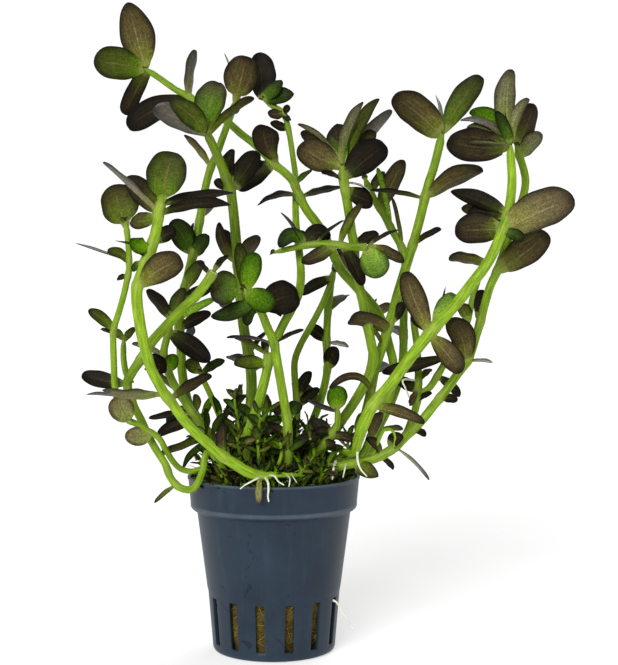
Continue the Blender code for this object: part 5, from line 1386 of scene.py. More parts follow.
def blade_veins_effect():
    """The midrib, the fine broken veins that fan out beside it, and the streaks between them."""
    tree, r, given, result = shared_effect(
        "blade veins",
        [("Place", "vector", None), ("Shift", "value", 0.0), ("Veins across", "value", 4.0)],
        [("Midrib", "value"), ("Veins", "value"), ("Streaks", "value")],
    )
    s, v, half = r.parts(given["Place"])
    shifted = r.times(given["Shift"], 40.0)
    beside = r.times(s, half)
    edge = r.size_of(s)
    wander = r.cloud(r.vector(r.times(s, 1.6), r.times(v, 3.0), shifted), 1.0, 3.0)
    wander = r.minus(wander, 0.5)
    from_midrib = r.size_of(r.plus(beside, r.times(wander, 0.3)))
    midrib = r.rise(from_midrib, 0.08, 0.36, 1.0, 0.0)
    midrib = r.times(midrib, r.rise(v, 0.5, 0.95, 1.0, 0.0))
    fan = r.plus(edge, r.times(wander, 0.3))
    fan = r.math("PINGPONG", r.times(fan, given["Veins across"]), 0.5)
    veins = r.rise(fan, 0.0, 0.16, 1.0, 0.0)
    broken = r.cloud(r.vector(r.times(s, 5.0), r.times(v, 3.5), shifted), 1.0, 2.0)
    veins = r.times(veins, r.rise(broken, 0.38, 0.56))
    veins = r.times(veins, r.rise(edge, 0.6, 0.9, 1.0, 0.0))
    veins = r.times(veins, r.rise(v, 0.45, 0.95, 1.0, 0.12))
    lengthwise = r.vector(r.times(beside, 2.0), r.times(v, 2.6), shifted)
    streaks = r.cloud(lengthwise, 1.0, 4.0, 0.62)
    for label, value in (("Midrib", midrib), ("Veins", veins), ("Streaks", streaks)):
        r.feed(result[label], value)
    return tree


def blade_zones_effect():
    """Where a point lies between the joint and the tip, and how near it is to the rim."""
    tree, r, given, result = shared_effect(
        "blade zones",
        [("Place", "vector", None), ("Streaks", "value", 0.5), ("Green reach", "value", 0.4)],
        [("Joint", "value"), ("Body", "value"), ("Tip", "value"), ("Border", "value"), ("Rim", "value")],
    )
    s, v, _ = r.parts(given["Place"])
    edge = r.size_of(s)
    uneven = r.times(r.minus(given["Streaks"], 0.5), 0.55)
    onward = r.plus(r.plus(v, r.times(r.math("POWER", edge, 2.0), 0.22)), uneven)
    joint = r.rise(r.plus(v, r.times(uneven, 0.4)), 0.0, 0.1, 1.0, 0.0)
    body = r.rise(r.math("DIVIDE", onward, given["Green reach"]), 0.25, 1.3)
    tip = r.rise(onward, 0.5, 1.1)
    border = r.math("MAXIMUM", r.rise(edge, 0.45, 1.0), r.rise(v, 0.78, 1.0))
    border = r.times(border, r.rise(v, 0.05, 0.3))
    rim = r.math("MAXIMUM", r.rise(edge, 0.87, 0.98), r.rise(v, 0.945, 0.99))
    rim = r.times(rim, r.rise(v, 0.06, 0.3))
    for label, value in (("Joint", joint), ("Body", body), ("Tip", tip), ("Border", border), ("Rim", rim)):
        r.feed(result[label], value)
    return tree


def living_grain_effect():
    """The blotches of a living skin and the fine cells of its surface, at their real size."""
    tree, r, given, result = shared_effect(
        "living grain",
        [("Blotch size", "value", 3.0), ("Cell size", "value", 0.25), ("Shift", "value", 0.0)],
        [("Blotches", "value"), ("Cells", "value")],
    )
    where = r.node("ShaderNodeVectorMath", r.where(), r.vector(given["Shift"], 0.0, 0.0), operation="ADD")
    blotches = r.cloud(where, r.math("DIVIDE", 1000.0, given["Blotch size"]), 3.0, 0.6)
    cells = r.cloud(where, r.math("DIVIDE", 1000.0, given["Cell size"]), 1.0, 0.5)
    r.feed(result["Blotches"], blotches)
    r.feed(result["Cells"], cells)
    return tree


def shaded_effect():
    """Lightens and darkens a colour by a pattern and by the tint of the blade or stem."""
    tree, r, given, result = shared_effect(
        "growth shade",
        [("Colour", "colour", (0.5, 0.5, 0.5, 1.0)), ("Pattern", "value", 0.5), ("Depth", "value", 0.5),
         ("Light", "value", 1.0)],
        [("Colour", "colour")],
    )
    change = r.times(r.minus(given["Pattern"], 0.5), given["Depth"])
    lightness = r.times(r.plus(change, 1.0), given["Light"])
    light = r.vector(lightness, lightness, lightness)
    r.feed(result["Colour"], r.blend(1.0, given["Colour"], light, "MULTIPLY"))
    return tree


def finish_shell(name, roughness=0.5, **constants):
    """A material with its shader, whose even values are set on the shader itself."""
    made = bpy.data.materials.new(name)
    made.use_nodes = True
    shader = made.node_tree.nodes["Principled BSDF"]
    shader.inputs["Roughness"].default_value = roughness
    for label, value in constants.items():
        shader.inputs[label.replace("_", " ")].default_value = value
    return made, Recipe(made.node_tree), shader


def blade_finish(name, base, body, tip, vein, rim, green_reach=0.4, vein_strength=0.3, roughness=0.5,
                 shine=0.07, midrib=None, midrib_strength=0.3):
    """One side of a leaf: pale at its joint, green beyond, then its own colour, with painted shade towards
    its rim and a thin dark rim.
    """
    made, r, shader = finish_shell(name, Specular_IOR_Level=shine)
    place = r.stored("growth_place")
    green, light, shift = r.tint()
    veins = r.effect("veins", Place=place, Shift=shift, Veins_across=VEINS_ACROSS)
    reach = r.times(r.plus(green, 0.5), green_reach)
    zones = r.effect("zones", Place=place, Streaks=veins["Streaks"], Green_reach=reach)
    grain = r.effect("grain", Blotch_size=1.3, Cell_size=0.42, Shift=shift)
    colour = r.blend(zones["Body"], paint(*base), paint(*body))
    colour = r.blend(zones["Tip"], colour, paint(*tip))
    colour = r.over(colour, veins["Veins"], vein_strength * 0.5, vein)
    colour = r.over(colour, veins["Midrib"], midrib_strength, midrib or vein)
    pattern = r.plus(r.times(grain["Blotches"], 0.5), r.times(veins["Streaks"], 0.5))
    # Painted shade, darker towards the blade's rim
    shadow = r.rise(zones["Border"], 0.0, 1.0, 1.0, 0.45)
    # Light is the blade's tint, which for the bed's leaves holds painted light
    colour = r.shaded(colour, pattern, 1.9, light)
    speck = r.rise(grain["Cells"], 0.32, 0.68)
    colour = r.shaded(colour, speck, 0.6, shadow)
    colour = r.over(colour, zones["Joint"], 0.6, JOINT_PALE)
    colour = r.over(colour, zones["Rim"], 0.9, rim)
    rough = r.plus(roughness - 0.1, r.times(pattern, 0.25))
    height = r.plus(r.times(veins["Streaks"], 0.5), r.times(grain["Cells"], 0.4))
    height = r.plus(height, r.times(veins["Veins"], 0.25))
    r.surface(shader, colour, rough, r.relief(height, 0.00014, 0.55))
    return made


def stem_finish(name, bright, deep, node_colour):
    """A fleshy stem: lime with darker lengthwise streaks, beige at its nodes, finely speckled."""
    made, r, shader = finish_shell(
        name, Specular_IOR_Level=0.14, Subsurface_Weight=0.06, Subsurface_Scale=0.0008
    )
    shader.inputs["Subsurface Radius"].default_value = (1.0, 1.0, 0.25)
    _, light, shift = r.tint()
    turn, distance, nearness = r.parts(r.stored("growth_place"))
    round_it = r.times(turn, math.tau)
    along_it = r.plus(distance, r.times(shift, 300.0))
    ring = r.vector(r.math("COSINE", round_it), r.math("SINE", round_it), 0.0)

    def on_skin(across, lengthwise):
        stretched = r.stretched(ring, (across, across, 0.0))
        line = r.vector(0.0, 0.0, r.times(along_it, lengthwise))
        return r.node("ShaderNodeVectorMath", stretched, line, operation="ADD")

    streaks = r.cloud(on_skin(2.0, 0.12), 1.5, 2.0)
    patches = r.cloud(on_skin(0.7, 0.14), 1.5, 3.0)
    cells = r.cloud(on_skin(4.5, 2.2), 1.6, 2.0, 0.6)
    colour = r.blend(r.rise(streaks, 0.2, 0.85), paint(*deep), paint(*bright))
    beige = r.times(nearness, r.rise(patches, 0.3, 0.65, 0.1, 0.55))
    colour = r.blend(beige, colour, paint(*node_colour))
    speck = r.rise(cells, 0.25, 0.75)
    # Light is the tint's lightness, which holds the painted light and shade of the table's stems
    colour = r.shaded(colour, speck, 0.42, light)
    colour = r.shaded(colour, patches, 0.7)
    rough = r.plus(0.35, r.times(cells, 0.25))
    height = r.plus(r.times(cells, 0.6), r.times(streaks, 0.3))
    r.surface(shader, colour, rough, r.relief(height, 0.00006, 0.4))
    return made


def plain_growth_finish(name, light_colour, dark_colour, size, roughness=0.6):
    """Hair, root, pith and moss: two colours in blotches of this size in millimetres."""
    made, r, shader = finish_shell(name, Specular_IOR_Level=0.3)
    _, light, shift = r.tint()
    grain = r.effect("grain", Blotch_size=size, Cell_size=size / 5, Shift=shift)
    colour = r.blend(r.rise(grain["Blotches"], 0.3, 0.7), paint(*dark_colour), paint(*light_colour))
    colour = r.shaded(colour, grain["Cells"], 0.5, light)
    rough = r.plus(roughness - 0.1, r.times(grain["Cells"], 0.2))
    r.surface(shader, colour, rough, r.relief(grain["Cells"], PLAIN_RELIEF, 0.6))
    return made


def pot_finish():
    """Matt blue-grey moulded plastic, with a painted highlight at its rim and step, smudges and scuffs."""
    made, r, shader = finish_shell("pot_plastic_scuffed", Specular_IOR_Level=0.2)
    where = r.where()
    x, y, z = r.parts(where)
    turn = r.times(r.math("ARCTAN2", y, x), POT_MEAN_RADIUS * MM)
    unrolled = r.vector(turn, z, 0.0)
    broad = r.cloud(unrolled, 55.0, 4.0, 0.6)
    flow = r.cloud(r.vector(turn, r.times(z, 0.18), 0.0), 260.0, 3.0)
    fine = r.cloud(where, 2600.0, 2.0)
    colour = r.blend(r.rise(broad, 0.3, 0.72), paint(*POT_DEEP), paint(*POT_PLASTIC))
    colour = r.over(colour, r.rise(flow, 0.5, 0.8), 0.35, POT_LIGHT)
    smudges = r.rise(r.cloud(unrolled, 190.0, 3.0, 0.5, 1.4), 0.64, 0.72)
    colour = r.over(colour, smudges, 0.7, POT_SMUDGE)
    slanted = r.vector(r.times(turn, 3.0), r.plus(z, turn), 0.0)
    scuffs = r.rise(r.cloud(slanted, 420.0, 4.0, 0.7, 1.0), 0.68, 0.76)
    colour = r.over(colour, scuffs, 0.45, POT_SCUFF_AND_HIGHLIGHT)
    # A painted highlight along the lip and the rim step
    high = r.times(z, 1000.0)
    lip = r.rise(high, POT_HEIGHT - 0.9, POT_HEIGHT - 0.2)
    from_step = r.size_of(r.minus(high, RIM_FOOT_HEIGHT + 0.2))
    step = r.rise(from_step, 0.25, 0.9, 1.0, 0.0)
    painted_rim_highlight = r.times(r.math("MAXIMUM", lip, step), r.rise(broad, 0.3, 0.6, 0.3, 1.0))
    colour = r.over(colour, painted_rim_highlight, 0.55, POT_SCUFF_AND_HIGHLIGHT)
    dusty = r.rise(high, 2.5, 0.0)
    colour = r.over(colour, dusty, 0.25, POT_LIGHT)
    colour = r.shaded(colour, fine, 0.3)
    rough = r.plus(0.36, r.times(broad, 0.16))
    rough = r.plus(rough, r.times(scuffs, 0.2))
    height = r.plus(r.times(fine, 0.35), r.times(flow, 0.5))
    height = r.minus(height, r.times(scuffs, 0.4))
    r.surface(shader, colour, rough, r.relief(height, 0.00012, 0.4))
    return made


def wool_finish(name, light_colour, dark_colour):
    """Felted mineral wool: matt, fibrous and uneven."""
    made, r, shader = finish_shell(name, roughness=0.95, Specular_IOR_Level=0.1)
    where = r.where()
    fibres = r.cloud(r.stretched(where, (1.0, 1.0, 3.0)), 900.0, 4.0, 0.7, 1.2)
    broad = r.cloud(where, 260.0, 3.0)
    mixed = r.plus(r.times(fibres, 0.6), r.times(broad, 0.4))
    colour = r.blend(r.rise(mixed, 0.36, 0.64), paint(*dark_colour), paint(*light_colour))
    rough = r.rise(fibres, 0.0, 1.0, 0.85, 1.0)
    r.surface(shader, colour, rough, r.relief(fibres, 0.0003, 0.8))
    return made


def turned(name, profile, sides):
    """A closed solid turned about the Z axis. The profile starts and ends on the axis."""
    points = [(0.0, 0.0, profile[0][1])]
    for radius, height in profile[1:-1]:
        for corner in range(sides):
            angle = 2 * math.pi * (corner + 0.5) / sides
            points.append((radius * math.cos(angle), radius * math.sin(angle), height))
    points.append((0.0, 0.0, profile[-1][1]))
    faces = []
    rings = len(profile) - 2
    for corner in range(sides):
        beside = (corner + 1) % sides
        faces.append((0, 1 + beside, 1 + corner))
        top = 1 + (rings - 1) * sides
        faces.append((len(points) - 1, top + corner, top + beside))
        for ring in range(rings - 1):
            low = 1 + ring * sides
            high = low + sides
            faces.append((low + corner, low + beside, high + beside, high + corner))
    return new_object(name, new_mesh(name, points, faces))


def rounded(profile, radius):
    """The profile with each inner corner turned into a small arc."""
    made = [profile[0]]
    for before, corner, after in zip(profile, profile[1:], profile[2:]):
        here = Vector(corner)
        back, ahead = Vector(before) - here, Vector(after) - here
        reach = min(radius, back.length * 0.4, ahead.length * 0.4)
        start, end = here + back.normalized() * reach, here + ahead.normalized() * reach
        for step in range(POT_CORNER_STEPS + 1):
            t = step / POT_CORNER_STEPS
            made.append(tuple(start * (1 - t) ** 2 + here * 2 * t * (1 - t) + end * t ** 2))
    made.append(profile[-1])
    return made


def slot_cutter(name, centre, size, angle, corner):
    """A box in millimetres with its long edges rounded, turned about Z."""
    mesh = bpy.data.meshes.new(name)
    work = bmesh.new()
    bmesh.ops.create_cube(work, size=1.0)
    work.transform(Matrix.Diagonal((*(MM * side for side in size), 1.0)))
    long_edges = [
        edge for edge in work.edges
        if abs((edge.verts[0].co - edge.verts[1].co).x) > 0.5 * MM * size[0]
    ]
    bmesh.ops.bevel(work, geom=long_edges, offset=MM * corner, segments=3, affect="EDGES", profile=0.5)
    work.transform(Matrix.Rotation(angle, 4, "Z") @ Matrix.Translation(Vector(centre) * MM))
    work.to_mesh(mesh)
    work.free()
    return new_object(name, mesh)


def slot_cutters():
    """The boxes that cut the slots round the pot's foot and in its floor."""
    size = (SLOT_CUT_DEPTH, SLOT_WIDTH, SLOT_TOP - SLOT_BOTTOM)
    centre = (BASE_RADIUS, 0, (SLOT_BOTTOM + SLOT_TOP) / 2)
    cutters = []
    for index in range(SLOTS):
        angle = -math.pi / 2 + SLOT_TURN + 2 * math.pi * (index + 0.5) / SLOTS
        cutters.append(slot_cutter(f"slot_{index}", centre, size, angle, SLOT_CORNER))
    size = (FLOOR_SLOT_END - FLOOR_SLOT_START, FLOOR_SLOT_WIDTH, FLOOR_SLOT_CUT_HEIGHT)
    centre = ((FLOOR_SLOT_START + FLOOR_SLOT_END) / 2, 0, FLOOR_THICKNESS / 2)
    for index in range(FLOOR_SLOTS):
        angle = 2 * math.pi * index / FLOOR_SLOTS
        cutters.append(slot_cutter(f"floor_slot_{index}", centre, size, angle, FLOOR_SLOT_CORNER))
    return cutters


def make_pot():
    """The moulded net pot, with a rolled lip, a rim step with its bead, and slots with soft corners."""
    outside = [
        (0.0, 0.0),
        (BASE_RADIUS - BASE_CORNER, 0.0),
        (BASE_RADIUS - 0.35, 0.35),
        (BASE_RADIUS, BASE_CORNER),
        (WAIST_RADIUS - 0.25, WAIST_HEIGHT - 0.9),
        (WAIST_RADIUS, WAIST_HEIGHT),
        (BODY_TOP_RADIUS, BODY_TOP_HEIGHT),
        (BODY_TOP_RADIUS + 1.2, BODY_TOP_HEIGHT + 0.3),
        (RIM_FOOT_RADIUS + 0.12, RIM_FOOT_HEIGHT - 0.2),
        (RIM_FOOT_RADIUS + 0.05, RIM_FOOT_HEIGHT + 0.9),
        (RIM_RADIUS - 0.25, POT_HEIGHT - 1.1),
        (RIM_RADIUS, POT_HEIGHT - 0.7),
        (RIM_RADIUS, POT_HEIGHT),
    ]
    inside = [
        (RIM_RADIUS - WALL, POT_HEIGHT),
        (RIM_FOOT_RADIUS - WALL, RIM_FOOT_HEIGHT + 0.6),
        (BODY_TOP_RADIUS - WALL, BODY_TOP_HEIGHT),
        (WAIST_RADIUS - WALL, WAIST_HEIGHT),
        (BASE_RADIUS - WALL, FLOOR_THICKNESS),
        (0.0, FLOOR_THICKNESS),
    ]
    pot = turned("net_pot", rounded(outside + inside, POT_CORNER), POT_SIDES)
    cutters = slot_cutters()
    together = bpy.data.collections.new("slot_cutters")
    for cutter in cutters:
        together.objects.link(cutter)
    slots = pot.modifiers.new("slots", "BOOLEAN")
    slots.operation = "DIFFERENCE"
    slots.operand_type = "COLLECTION"
    slots.collection = together
    soften = pot.modifiers.new("soften", "BEVEL")
    soften.width = POT_EDGE_SOFTENING * MM
    soften.segments = 2
    soften.limit_method = "ANGLE"
    soften.angle_limit = math.radians(50)
    soften.harden_normals = True
    graph = bpy.context.evaluated_depsgraph_get()
    finished = bpy.data.meshes.new_from_object(pot.evaluated_get(graph))
    pot.modifiers.clear()
    pot.data = finished
    for cutter in cutters:
        bpy.data.objects.remove(cutter, do_unlink=True)
    bpy.data.collections.remove(together)
    pot.data.materials.clear()
    pot.data.materials.append(FINISHES["pot"])
    pot.data.polygons.foreach_set("use_smooth", [True] * len(pot.data.polygons))
    pot.data.set_sharp_from_angle(angle=math.radians(35))
    dress(pot, "pot_plastic", "pot")


def wool_radius(height):
    """How wide the plug is at this height, a gap clear of the pot's wall."""
    outline = [
        (FLOOR_THICKNESS + GAP, PLUG_FOOT_RADIUS),
        (WAIST_HEIGHT, WAIST_RADIUS - WALL - GAP),
        (BODY_TOP_HEIGHT, BODY_TOP_RADIUS - WALL - GAP),
        (PLUG_TOP, RIM_FOOT_RADIUS - WALL - GAP - PLUG_TOP_INSET),
    ]
    for (low, narrow), (high, wide) in zip(outline, outline[1:]):
        if height <= high:
            return narrow + (wide - narrow) * (height - low) / (high - low)
    return outline[-1][1]


def wool_body(form):
    """The plug's lumpy body, hollowed a little behind the foot of the slots."""
    points = []
    low, high = FLOOR_THICKNESS + GAP, PLUG_TOP
    for row in range(WOOL_ROWS + 1):
        height = low + (high - low) * row / WOOL_ROWS
        for corner in range(WOOL_SIDES):
            out = outward(math.tau * corner / WOOL_SIDES)
            spot = out * wool_radius(height) + Vector((0, 0, height))
            lump = noise.noise(spot * 0.28) * 0.5 + noise.noise(spot * 1.1) * 0.25
            hollow = 0.9 * smooth_step(9.0, 2.0, height) * (0.6 + noise.noise(spot * 0.2))
            points.append(spot - out * (GAP - lump + hollow))
    places = [(0.0, 0.0, 0.0)] * len(points)
    form.add(points, places, (0.5, 1.0, 0.0), ring_faces(WOOL_ROWS + 1, WOOL_SIDES), "wool")


def wool_fibre(form, rng):
    """A loose fibre that lies on the plug behind the slots, with its two ends sunk into it."""
    angle = rng.uniform(0.0, math.tau)
    height = rng.uniform(3.0, 19.0)
    lay = rng.uniform(-1.2, 1.2)
    length = rng.uniform(2.5, 6.5)
    last = FIBRE_POINTS - 1
    route = []
    for step in range(FIBRE_POINTS):
        along_it = step / last - 0.5
        across = angle + math.cos(lay) * length * along_it / FIBRE_RADIUS + rng.uniform(-0.02, 0.02)
        up = height + math.sin(lay) * length * along_it + rng.uniform(-0.4, 0.4)
        up = min(max(up, FIBRE_LOWEST), FIBRE_HIGHEST)
        lift = -0.3 if step in (0, last) else 0.35
        out = wool_radius(up) - 0.25 + lift + rng.uniform(-0.2, 0.1)
        route.append(Vector((out * math.cos(across), out * math.sin(across), up)))
    thread(form, Path(route), FIBRE_WIDTH, 0.0, 3, 0.9, tint_of(rng), "wool_fibre")


def make_wool():
    """The felted plug: its body, the loose fibres on it, and the root that pushes through a slot."""
    rng = random.Random("wool")
    form = Form()
    wool_body(form)
    for _ in range(WOOL_FIBRES):
        wool_fibre(form, rng)
    route = [Vector(point) for point in SLOT_ROOT]
    thread(form, Path(route), 0.75, 0.5, 8, 0.4, (0.5, 1.0, 0.3), "root_white")
    dress(form.made("mineral_wool"), "mineral_wool", "growing_plug")


def small_blade(form, rng, foot, heading, length, width, tone, tint, fineness, shape):
    """A little leaf of the bed or of a growing tip, that points along its heading."""
    tip = foot + heading * length
    start = foot + heading * length * 0.1
    roll = rng.uniform(0.0, 180.0)
    bow = rng.uniform(-0.5, 0.5)
    blade_form(form, foot, start, tip, width, roll, bow, TONES[tone], rng, tint, fineness,
               SMALL_BLADE_WAVE, shape)


def bed_spot(rng, reach, sunk):
    """A place on the bed within this radius, sunk into it, with the way outward from the pot's axis."""
    radius = reach * math.sqrt(rng.random())
    out = outward(rng.uniform(0.0, math.tau))
    return out * radius + Vector((0, 0, bed_height(radius) - sunk)), out, radius


def bed_mound(form):
    """The dark lumpy moss that everything in the bed grows out of."""
    points = []
    for ring in range(BED_RINGS + 1):
        radius = (BED[0][0] - 0.1) * (1.0 - ring / (BED_RINGS + 0.6))
        for corner in range(BED_SIDES):
            angle = math.tau * corner / BED_SIDES
            height = bed_height(radius) - MOUND_SUNK
            spot = Vector((radius * math.cos(angle), radius * math.sin(angle), height))
            lift = noise.noise(spot * 0.45) * 1.3 + noise.noise(spot * 1.6) * 0.6
            points.append(spot + Vector((0, 0, lift)))
    faces = ring_faces(BED_RINGS + 1, BED_SIDES)[1:]
    below = len(points)
    for corner in range(BED_SIDES):
        out = outward(math.tau * corner / BED_SIDES)
        points.append(out * BED[0][0] * 0.97 + Vector((0, 0, PLUG_TOP - 1.0)))
    faces += band(below, 0, BED_SIDES)
    faces.append(tuple(range(below, below + BED_SIDES)))
    form.add(points, [(0.0, 0.0, 0.0)] * len(points), (0.5, 1.0, 0.0), faces, "moss_dark")


def bed_shoot(form, rng, foot, lean, height):
    """A young shoot with narrow leaves in crossed pairs, longer and further apart on a tall one."""
    end = foot + lean.normalized() * height
    sway = drift(rng, 1) * 0.1 * height
    path = Path([foot, (foot + end) / 2 + sway, end])
    tint = (0.5, rng.uniform(0.6, 0.95), rng.random())
    thread(form, path, 1.3, 0.5, 7, 1.0, tint, "stem_green")
    vigour = smooth_step(8.0, 18.0, height)
    pairs = 1 + round(height / (3.6 + 2.6 * vigour))
    turn = rng.uniform(0.0, math.pi)
    for pair in range(pairs):
        share = 1.0 - 0.62 * pair / pairs
        spot = path.at(path.whole * share)
        heading = (spot - path.at(path.whole * (share - 0.1))).normalized()
        side = heading.orthogonal().normalized()
        turn += math.pi / 2 + rng.uniform(-0.3, 0.3)
        spread = 0.7 + 0.5 * pair
        for opposite in (0.0, math.pi):
            out = Matrix.Rotation(turn + opposite, 3, heading) @ side
            way = (heading + out * spread * rng.uniform(0.8, 1.3)).normalized()
            length = rng.uniform(3.4, 6.2) * (0.75 if pair == 0 else 1.0) * (1.0 + 0.5 * vigour)
            small_blade(form, rng, spot, way, length, length * rng.uniform(0.3, 0.44),
                        rng.choice(SHOOT_TONES), tint_of(rng, BED_PAINTED_LIGHT), SHOOT_LEAF_FINENESS, "point")


def bed_strand(form, rng):
    """A fine strand of moss that lies outward, shorter near the rim."""
    foot, out, radius = bed_spot(rng, 23.6, 0.9)
    sway = drift(rng, 1)
    reach = rng.uniform(3.0, 8.0) * (1.0 - 0.5 * (radius / BED_RADIUS) ** 4)
    middle = foot + (out * 0.25 + sway * 0.5 + Vector((0, 0, 0.9))) * reach * 0.45
    rise = Vector((0, 0, rng.uniform(0.2, 0.8)))
    end = foot + (out * 0.4 * radius / BED_RADIUS + sway * 0.9 + rise) * reach
    finish = rng.choice(STRAND_FINISHES)
    thread(form, Path([foot, middle, end]), 0.55, 0.38, 4, 1.0, tint_of(rng), finish)


def bed_leaf(form, rng):
    """A narrow leaf that leans outward, more so near the rim."""
    foot, out, radius = bed_spot(rng, 23.9, 1.0)
    sway = drift(rng, 0.9)
    heading = out * (0.1 + 0.6 * radius / BED_RADIUS) + sway + Vector((0, 0, rng.uniform(0.3, 1.3)))
    length = rng.uniform(4.2, 8.4) * (1.0 - 0.3 * radius / BED_RADIUS)
    small_blade(form, rng, foot, heading.normalized(), length, length * rng.uniform(0.2, 0.36),
                rng.choice(BED_TONES), tint_of(rng, BED_PAINTED_LIGHT), BED_LEAF_FINENESS,
                rng.choice(("lance", "point")))


def bed_shoots(form, rng):
    """Low shoots all over the bed, tall ones nearer its middle, and those that show at the front."""
    for _ in range(BED_SHOOTS):
        foot, out, radius = bed_spot(rng, 21.5, 0.6)
        lean = out * 0.5 * radius / BED_RADIUS + drift(rng, 0.35, 1.0)
        bed_shoot(form, rng, foot, lean, rng.uniform(4.5, 10.0) * (1.0 - 0.35 * radius / BED_RADIUS))
    for _ in range(TALL_SHOOTS):
        foot, out, radius = bed_spot(rng, 19.0, 0.6)
        lean = out * 0.6 * radius / BED_RADIUS + drift(rng, 0.3, 1.0)
        # They stand lower on the right, where the stems have little between them.
        vigour = 1.0 if foot.x < 0.0 else 0.6
        bed_shoot(form, rng, foot, lean, rng.uniform(11.0, 21.0) * vigour)
    for across, up, depth, height in FRONT_SHOOTS:
        foot = place(across, up, depth)
        bed_shoot(form, rng, foot, Vector((rng.uniform(-0.2, 0.2), -0.15, 1.0)), height)


def bed_root(form, rng):
    """A thin grey root that arches over the moss and dips into it."""
    foot, _, _ = bed_spot(rng, 23.0, -1.0)
    run = drift(rng, 1) * rng.uniform(1.5, 3.0)
    end = foot + run - Vector((0, 0, 2.2))
    middle = (foot + end) / 2 + Vector((0, 0, 0.5))
    thread(form, Path([foot, middle, end]), 0.3, 0.14, 5, 0.6, tint_of(rng), "root_grey")


def make_bed():
    """The bed between the stems: dark moss, strands, narrow leaves, young shoots and thin roots."""
    rng = random.Random("bed")
    form = Form()
    bed_mound(form)
    for _ in range(BED_STRANDS):
        bed_strand(form, rng)
    for _ in range(BED_LEAVES):
        bed_leaf(form, rng)
    bed_shoots(form, rng)
    for _ in range(BED_ROOTS):
        bed_root(form, rng)
    dress(form.made("moss_and_small_leaves"), "tangle", "basal_tangle")


def growing_tip(form, growth):
    """The folded young leaves at the end of a stem, tucked behind the full-grown ones."""
    rng = random.Random(growth.stem.name + " tip")
    heading = (growth.curve[-1] - growth.at(growth.whole - 2.0)).normalized()
    foot = growth.curve[-1] - heading * 0.7
    side = heading.orthogonal().normalized()
    tone = TIP_TONES.get(growth.stem.name, OTHER_TIP_TONE)
    for pair, (length, spread) in enumerate(((2.3, 0.5), (1.7, 0.25))):
        for turn in (0.0, math.pi):
            angle = turn + pair * math.pi / 2 + rng.uniform(-0.4, 0.4)
            out = Matrix.Rotation(angle, 3, heading) @ side
            way = (heading + out * spread).normalized()
            small_blade(form, rng, foot, way, length * rng.uniform(0.85, 1.15), rng.uniform(0.9, 1.3),
                        tone, tint_of(rng), TIP_LEAF_FINENESS, "oval")


def root_form(form, growth, root):
    """A thin root of the table, from its stem."""
    depth = growth.nearest(*root.route[0])[0].y
    points = [place(*root.route[0], depth)]
    points += [place(across, up, depth + root.lean) for across, up in root.route[1:]]
    thread(form, Path(points), root.width, ROOT_TAPER * root.width, 8, 0.5, (0.5, 1.0, 0.5), root.finish)


def grow_stems():
    """Every stem, with the leaves, roots and side stems that are fused to it, and its named leaves."""
    for stem in STEMS:
        growth = Growth(stem)
        form = Form()
        for leaf in LEAVES[stem.name]:
            own = Form() if leaf.name else form
            leaf_form(own, growth, leaf)
            if leaf.name:
                slot = LEAF_SLOTS[leaf.tone]
                dress(own.made("live_" + leaf.name), slot, leaf.name)
        blunt = stem.name in CUT_STEMS
        shift = random.Random(stem.name + " tint").random()
        # The stem's lightness carries its painted light and shade
        tint = (0.5, STEM_PAINTED_LIGHT.get(stem.name, OTHER_STEM_PAINTED_LIGHT), shift)
        stem_form(form, growth, tint, blunt)
        if not blunt:
            growing_tip(form, growth)
        for root in ROOTS.get(stem.name, []):
            root_form(form, growth, root)
        for twig in TWIGS.get(stem.name, []):
            side_growth = Growth(twig)
            for leaf in LEAVES[twig.name]:
                leaf_form(form, side_growth, leaf)
            stem_form(form, side_growth, tint)
        dress(form.made("live_" + stem.name), "stem", stem.name)


def paper_finish():
    """The studio's pale paper, faintly uneven, with a glow that keeps it light."""
    made, r, shader = finish_shell(
        "pale_paper", roughness=0.9, Specular_IOR_Level=0.0, Emission_Strength=FLOOR_GLOW
    )
    shade = r.cloud(r.where(), 6.0, 3.0)
    paper = r.blend(r.rise(shade, 0.2, 0.8), paint(*PAPER_LOW), paint(*PAPER_HIGH))
    r.feed(shader.inputs["Base Color"], paper)
    shader.inputs["Emission Color"].default_value = (1.0, 1.0, 1.0, 1.0)
    return made


def make_floor():
    """A wide round of pale paper, just below the pot."""
    mesh = bpy.data.meshes.new("pale_floor")
    work = bmesh.new()
    bmesh.ops.create_circle(work, cap_ends=True, radius=FLOOR_RADIUS, segments=96)
    work.transform(Matrix.Translation((0, 0, -FLOOR_DROP)))
    work.to_mesh(mesh)
    work.free()
    obj = new_object("pale_floor", mesh)
    mesh.materials.append(paper_finish())


def aimed(name, data, position, aim):
    """A lamp or camera that stands at this position and points at its aim."""
    obj = new_object(name, data)
    obj.location = position
    obj.rotation_mode = "QUATERNION"
    obj.rotation_quaternion = (Vector(aim) - Vector(position)).to_track_quat("-Z", "Y")
    return obj


def white_studio():
    """A white room: it lights softly, gives gloss its light, and shows as plain white behind everything."""
    world = bpy.data.worlds.new("white_studio")
    world.use_nodes = True
    r = Recipe(world.node_tree)
    backdrop = world.node_tree.nodes["Background"]
    ray = r.node("ShaderNodeLightPath").node.outputs
    strength = r.rise(ray["Is Glossy Ray"], 0.0, 1.0, ROOM_LIGHT, ROOM_SHEEN)
    seen = r.times(ray["Is Camera Ray"], ROOM_SEEN)
    r.feed(backdrop.inputs["Strength"], r.math("MAXIMUM", strength, seen))
    backdrop.inputs["Color"].default_value = (1.0, 1.0, 1.0, 1.0)
    return world


